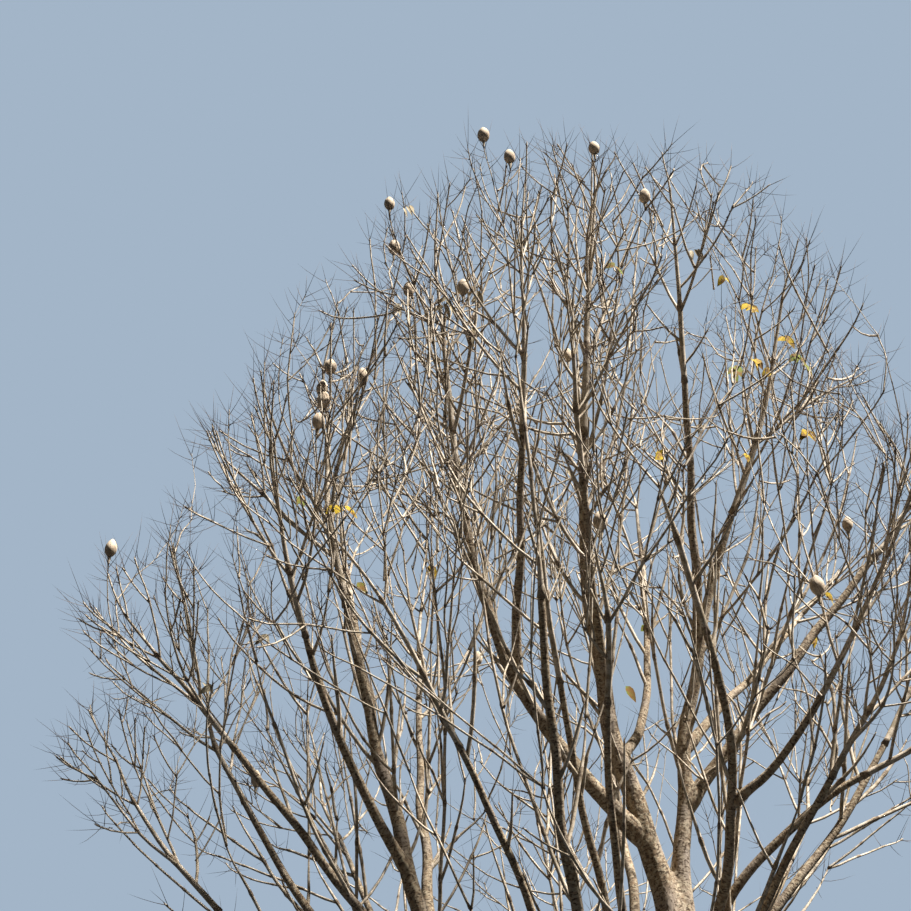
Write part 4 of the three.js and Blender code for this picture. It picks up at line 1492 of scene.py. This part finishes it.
class MAHOGANY_OT_leaf_stalks(bpy.types.Operator):
    """The thin stalks of fallen leaves that stay on the ends of the shoots"""
    bl_idname = "mahogany.leaf_stalks"
    bl_label = "Leaf Stalks"

    def execute(self, context):
        settings = context.scene.mahogany_stalks
        dark = mottled_material("dry leaf stalk", settings.dark, settings.brown, settings.dark)
        brown = mottled_material("young leaf stalk", settings.brown, settings.dark, settings.brown)
        tips = np.array([chain.knots[-1] for mass in growth().masses for chain in mass.chains])
        for stem in STEMS:
            skin = Skin()
            for mass in masses_on(stem):
                for chain in mass.chains:
                    near = (np.linalg.norm(tips - chain.knots[-1], axis=1) < settings.crowd_reach).sum()
                    self.add_tuft(skin, chain, min(1, settings.crowd / near), settings)
            finish_piece(skin.build(stem + "_leaf_stalks", [dark, brown]))
        return {"FINISHED"}

    def add_tuft(self, skin, chain, share, settings):
        """Stalks that stand out from the end of one chain, fewer in a crowd."""
        tip = chain.knots[-1]
        direction = unit(tip - chain.knots[-2])
        length_there = np.linalg.norm(tip - chain.knots[-2])
        seed = chain.seed
        spread = settings.most - settings.fewest
        count = settings.fewest + int(chance(seed, 500) * (spread + 1))
        if chain.fine:
            count = math.ceil(TUFT.fine_share * count)
        if skin_share(tip[None])[0] < settings.bare_inside:
            count = int(TUFT.inner_share * count)
        for k in range(round(count * share)):
            inward = min(TUFT.foot_step * k, TUFT.deepest * length_there)
            foot = tip - direction * inward * (0.5 + chance(seed, 510 + k))
            middle = min(TUFT.tilt + TUFT.tilt_step * k, TUFT.most_tilt)
            tilt = math.radians(middle + TUFT.tilt_spread * (chance(seed, 530 + k) - 0.5))
            heading = turned(direction, tilt, GOLDEN_TURN * k + TURN * chance(seed, 501))
            length = around(seed, 550 + k, settings.length, TUFT.length_spread)
            rise = TUFT.rise * chance(seed, 570 + k) - TUFT.fall
            curl = (UP * rise + direction * TUFT.follow) * length
            shares = np.array(TUFT.shares)[:, None]
            line = foot + heading * length * shares + curl * shares ** 2
            radii = settings.radius * np.array(TUFT.girths)
            tone = int(chance(seed, 590 + k) < TUFT.brown_share)
            end = foot + heading * length + curl
            if (end > SIZE_LOW).all() and (end < SIZE_HIGH).all():
                skin.sweep(line, radii, end, STALK_SIDES, [tone] * len(line))


class MAHOGANY_OT_capsules(bpy.types.Operator):
    """Woody seed capsules, upright on the stalks that carry them"""
    bl_idname = "mahogany.capsules"
    bl_label = "Seed Capsules"

    def execute(self, context):
        settings = context.scene.mahogany_capsules
        twigs = context.scene.mahogany_twigs
        husk = mottled_material("scurfy woody husk", settings.husk, settings.husk_patch, settings.husk_fleck)
        stalk = mottled_material("thick fruit stalk bark", twigs.shoot_patch, twigs.shoot, twigs.knot)
        skin = Skin()
        for index, foot in enumerate(growth().fruit_ends):
            self.add_stalk(skin, foot, settings)
            self.add_husk(skin, foot + UP * settings.stalk, settings, index + 1)
        finish_piece(skin.build("seed_capsules", [husk, stalk]))
        return {"FINISHED"}

    def add_stalk(self, skin, foot, settings):
        """A stout stalk that widens under the capsule."""
        heights = settings.stalk * np.array(FRUIT_STALK.heights)
        line = foot + UP * heights[:, None]
        end = line[-1] + UP * FRUIT_STALK.end
        skin.sweep(line, np.array(FRUIT_STALK.radii), end, FRUIT_STALK.sides, [1] * len(line))

    def add_husk(self, skin, bottom, settings, seed):
        """An ovoid with faint valves and a small point, widest a little below its middle."""
        lean = np.array([chance(seed, 600) - 0.5, chance(seed, 601) - 0.5, 0]) * HUSK.lean
        height = around(seed, 602, settings.height, HUSK.size_spread)
        girth = around(seed, 603, settings.radius, HUSK.size_spread)
        phase = TURN * chance(seed, 604)
        share = (np.arange(HUSK.rows) + 0.5) / HUSK.rows
        profile = np.sin(math.pi * share) ** HUSK.bluntness * (HUSK.foot_width - HUSK.narrows * share)
        angles = TURN * np.arange(HUSK.sides) / HUSK.sides
        ring = np.column_stack([np.cos(angles), np.sin(angles), np.zeros(HUSK.sides)])
        seams = np.abs(np.cos(HUSK.valves / 2 * (angles + phase))) ** HUSK.seam_power
        valve = 1 - HUSK.seam * seams
        rings = [
            bottom + (UP + lean) * height * s + ring * (girth * p * valve)[:, None]
            for s, p in zip(share, profile)
        ]
        ends = [bottom, bottom + (UP + lean) * height * HUSK.point]
        skin.add(np.concatenate([*rings, ends]), tube_faces(HUSK.rows, HUSK.sides), 0)


class MAHOGANY_OT_leaflets(bpy.types.Operator):
    """The last leaflets, yellow, green or dry, on drooping stalks"""
    bl_idname = "mahogany.leaflets"
    bl_label = "Leaflets"

    def execute(self, context):
        settings = context.scene.mahogany_leaves
        stalks = context.scene.mahogany_stalks
        materials = []
        for kind in LEAF_KINDS:
            spot = settings.dry_spot if kind == "dry" else settings.spot
            blade = getattr(settings, kind)
            materials.append(mottled_material(kind + " leaflet", blade, spot, spot))
        stalk = mottled_material("leaf stalk with leaflets", stalks.brown, stalks.dark, stalks.brown)
        materials.append(stalk)
        knots = np.array([
            knot for mass in growth().masses for chain in mass.chains for knot in chain.knots[1:]
        ])
        skin = Skin()
        for index, (kind, count, place) in enumerate(LEAF_PLACES):
            place = np.array(place)
            foot = knots[int(np.argmin(np.linalg.norm(knots - place, axis=1)))]
            way = place - foot + UP * LEAF.lift
            heading = way * min(1, LEAF.reach / np.linalg.norm(way))
            self.add_leaf(skin, foot, heading, kind, count, index + 1, settings)
        finish_piece(skin.build("leaflets", materials))
        return {"FINISHED"}

    def add_leaf(self, skin, foot, heading, kind, count, seed, settings):
        """A drooping stalk with leaflets along its outer half."""
        sunward = unit(np.array(settings.sunward))
        shares = np.array(LEAF.stalk_shares)[:, None]
        droop = UP * LEAF.droop * np.linalg.norm(heading)
        line = foot + heading * shares - droop * shares ** 2
        end = foot + heading - droop
        skin.sweep(line, np.array(LEAF.stalk_radii), end, STALK_SIDES, [len(LEAF_KINDS)] * len(line))
        for k in range(count):
            share = 1 - LEAF.leaflet_step * k
            base = foot + heading * share - droop * share ** 2
            turn = TURN * chance(seed, 800 + k)
            hang = -LEAF.hang - LEAF.hang_spread * chance(seed, 810 + k)
            away = np.array([math.cos(turn), math.sin(turn), hang])
            away -= LEAF.turn_away * sunward * (away @ sunward)
            self.add_leaflet(skin, base, unit(away), kind, mix(seed, 820 + k), settings)

    def add_leaflet(self, skin, base, forward, kind, seed, settings):
        """One leaflet: a pointed blade with uneven halves, folded along its midrib and curled."""
        form = LEAFLET_FORMS[kind]
        length = around(seed, 1, settings.length, LEAF.length_spread)
        width = around(seed, 2, settings.width, LEAF.width_spread) * form.slim
        shake = np.array([chance(seed, 3), chance(seed, 4), chance(seed, 5)]) - 0.5
        across = unit(np.cross(np.array(settings.sunward) + LEAF.shake * shake, forward))
        over = np.cross(forward, across)
        curl = form.curl * length
        shares = np.array(LEAF.shares)
        wide = width / 2 * np.array(LEAF.widths)
        narrow = LEAF.narrow_half * wide
        middle = base + forward * (shares * length)[:, None] - over * (curl * shares ** 2)[:, None]
        left = middle + across * wide[:, None] + over * (form.fold * wide)[:, None]
        right = middle - across * narrow[:, None] + over * (form.fold * LEAF.narrow_half * wide)[:, None]
        points = np.concatenate([left, middle, right])
        rows = len(shares)
        faces = []
        for row in range(rows - 1):
            for a in (row, row + rows):
                faces += [(a, a + rows, a + rows + 1), (a, a + rows + 1, a + 1)]
        skin.add(points, np.array(faces), LEAF_KINDS.index(kind))


class MAHOGANY_OT_stage(bpy.types.Operator):
    """Floor, backdrop, lights and the camera at the photographed view"""
    bl_idname = "mahogany.stage"
    bl_label = "Stage"

    def execute(self, context):
        settings = context.scene.mahogany_stage
        self.add_floor(context, settings)
        self.add_backdrop(context, settings)
        self.add_lights(context, settings)
        self.add_camera(context)
        context.scene.view_settings.view_transform = "Standard"
        return {"FINISHED"}

    def add_floor(self, context, settings):
        """A matt grey floor with no pattern, so that nothing on it draws the eye."""
        deselect_all()
        bpy.ops.mesh.primitive_circle_add(
            vertices=96, radius=FLOOR_RADIUS, fill_type="NGON", location=(0, 0, 0)
        )
        floor = context.object
        floor.name = "studio_floor"
        material, _, shader = new_material("matt studio floor paint")
        shader.inputs["Base Color"].default_value = colour(settings.floor)
        shader.inputs["Roughness"].default_value = 0.9
        floor.data.materials.append(material)
        floor.visible_diffuse = False

    def add_backdrop(self, context, settings):
        """An even blue-grey glow, against which the crown's outline reads."""
        deselect_all()
        bpy.ops.mesh.primitive_uv_sphere_add(
            segments=48, ring_count=24, radius=BACKDROP_RADIUS, location=(0, 0, 0)
        )
        backdrop = context.object
        backdrop.name = "studio_backdrop"
        material = bpy.data.materials.new("plain backdrop")
        material.use_nodes = True
        tree = material.node_tree
        tree.nodes.clear()
        glow = add_node(tree, "ShaderNodeEmission", {"Color": colour(settings.backdrop), "Strength": 1.0})
        add_node(tree, "ShaderNodeOutputMaterial", {"Surface": glow.outputs[0]})
        backdrop.data.materials.append(material)
        backdrop.visible_diffuse = False
        backdrop.visible_glossy = False
        backdrop.visible_shadow = False

    def add_lights(self, context, settings):
        """Hard sun from the front right, high up, and a little light from all round."""
        world = bpy.data.worlds.new("studio")
        context.scene.world = world
        world.use_nodes = True
        world.node_tree.nodes.clear()
        light = {"Color": colour(settings.sky), "Strength": settings.fill}
        sky = add_node(world.node_tree, "ShaderNodeBackground", light)
        add_node(world.node_tree, "ShaderNodeOutputWorld", {"Surface": sky.outputs[0]})
        deselect_all()
        bpy.ops.object.light_add(type="SUN", location=(8, -9, 14))
        key = context.object
        key.name = "key_light"
        key.data.energy = settings.key
        key.data.angle = math.radians(SUN_WIDTH)
        key.data.color = SUN_TINT
        key.rotation_mode = "QUATERNION"
        key.rotation_quaternion = Vector(TO_SUN).to_track_quat("Z", "Y")

    def add_camera(self, context):
        """The photographed view, from eye height up into the crown."""
        deselect_all()
        bpy.ops.object.camera_add(location=EYE, rotation=(math.radians(90 + LOOK_UP), 0, 0))
        camera = context.object
        camera.name = "photographed_view"
        camera.data.sensor_width = SENSOR
        camera.data.lens = FOCAL_PIXELS * SENSOR / FRAME_PIXELS
        camera.data.clip_end = SEEN_UP_TO
        context.scene.camera = camera


class MAHOGANY_PT_panel(bpy.types.Panel):
    """Lists the settings and the operators"""
    bl_label = "Mahogany Tree"
    bl_idname = "MAHOGANY_PT_panel"
    bl_space_type = "VIEW_3D"
    bl_region_type = "UI"
    bl_category = "Mahogany Tree"

    def draw(self, context):
        for name in SETTINGS:
            box = self.layout.box()
            group = getattr(context.scene, name)
            for key in group.bl_rna.properties.keys():
                if key not in {"rna_type", "name"}:
                    box.prop(group, key)
        for operator in OPERATORS:
            self.layout.operator(operator.bl_idname)


SETTINGS = {
    "mahogany_bark": BarkSettings,
    "mahogany_twigs": TwigSettings,
    "mahogany_stalks": StalkSettings,
    "mahogany_capsules": CapsuleSettings,
    "mahogany_leaves": LeafSettings,
    "mahogany_stage": StageSettings,
}
OPERATORS = (
    MAHOGANY_OT_stage,
    MAHOGANY_OT_stems,
    MAHOGANY_OT_boughs,
    MAHOGANY_OT_shoots,
    MAHOGANY_OT_leaf_stalks,
    MAHOGANY_OT_capsules,
    MAHOGANY_OT_leaflets,
)


def register():
    for name, group in SETTINGS.items():
        bpy.utils.register_class(group)
        setattr(bpy.types.Scene, name, bpy.props.PointerProperty(type=group))
    for operator in OPERATORS:
        bpy.utils.register_class(operator)
    bpy.utils.register_class(MAHOGANY_PT_panel)


def unregister():
    bpy.utils.unregister_class(MAHOGANY_PT_panel)
    for operator in reversed(OPERATORS):
        bpy.utils.unregister_class(operator)
    for name, group in SETTINGS.items():
        delattr(bpy.types.Scene, name)
        bpy.utils.unregister_class(group)


def main():
    """Builds the scene in order."""
    register()
    bpy.ops.mahogany.stage()
    bpy.ops.mahogany.stems()
    bpy.ops.mahogany.boughs()
    bpy.ops.mahogany.shoots()
    bpy.ops.mahogany.leaf_stalks()
    bpy.ops.mahogany.capsules()
    bpy.ops.mahogany.leaflets()


if __name__ == "__main__":
    main()
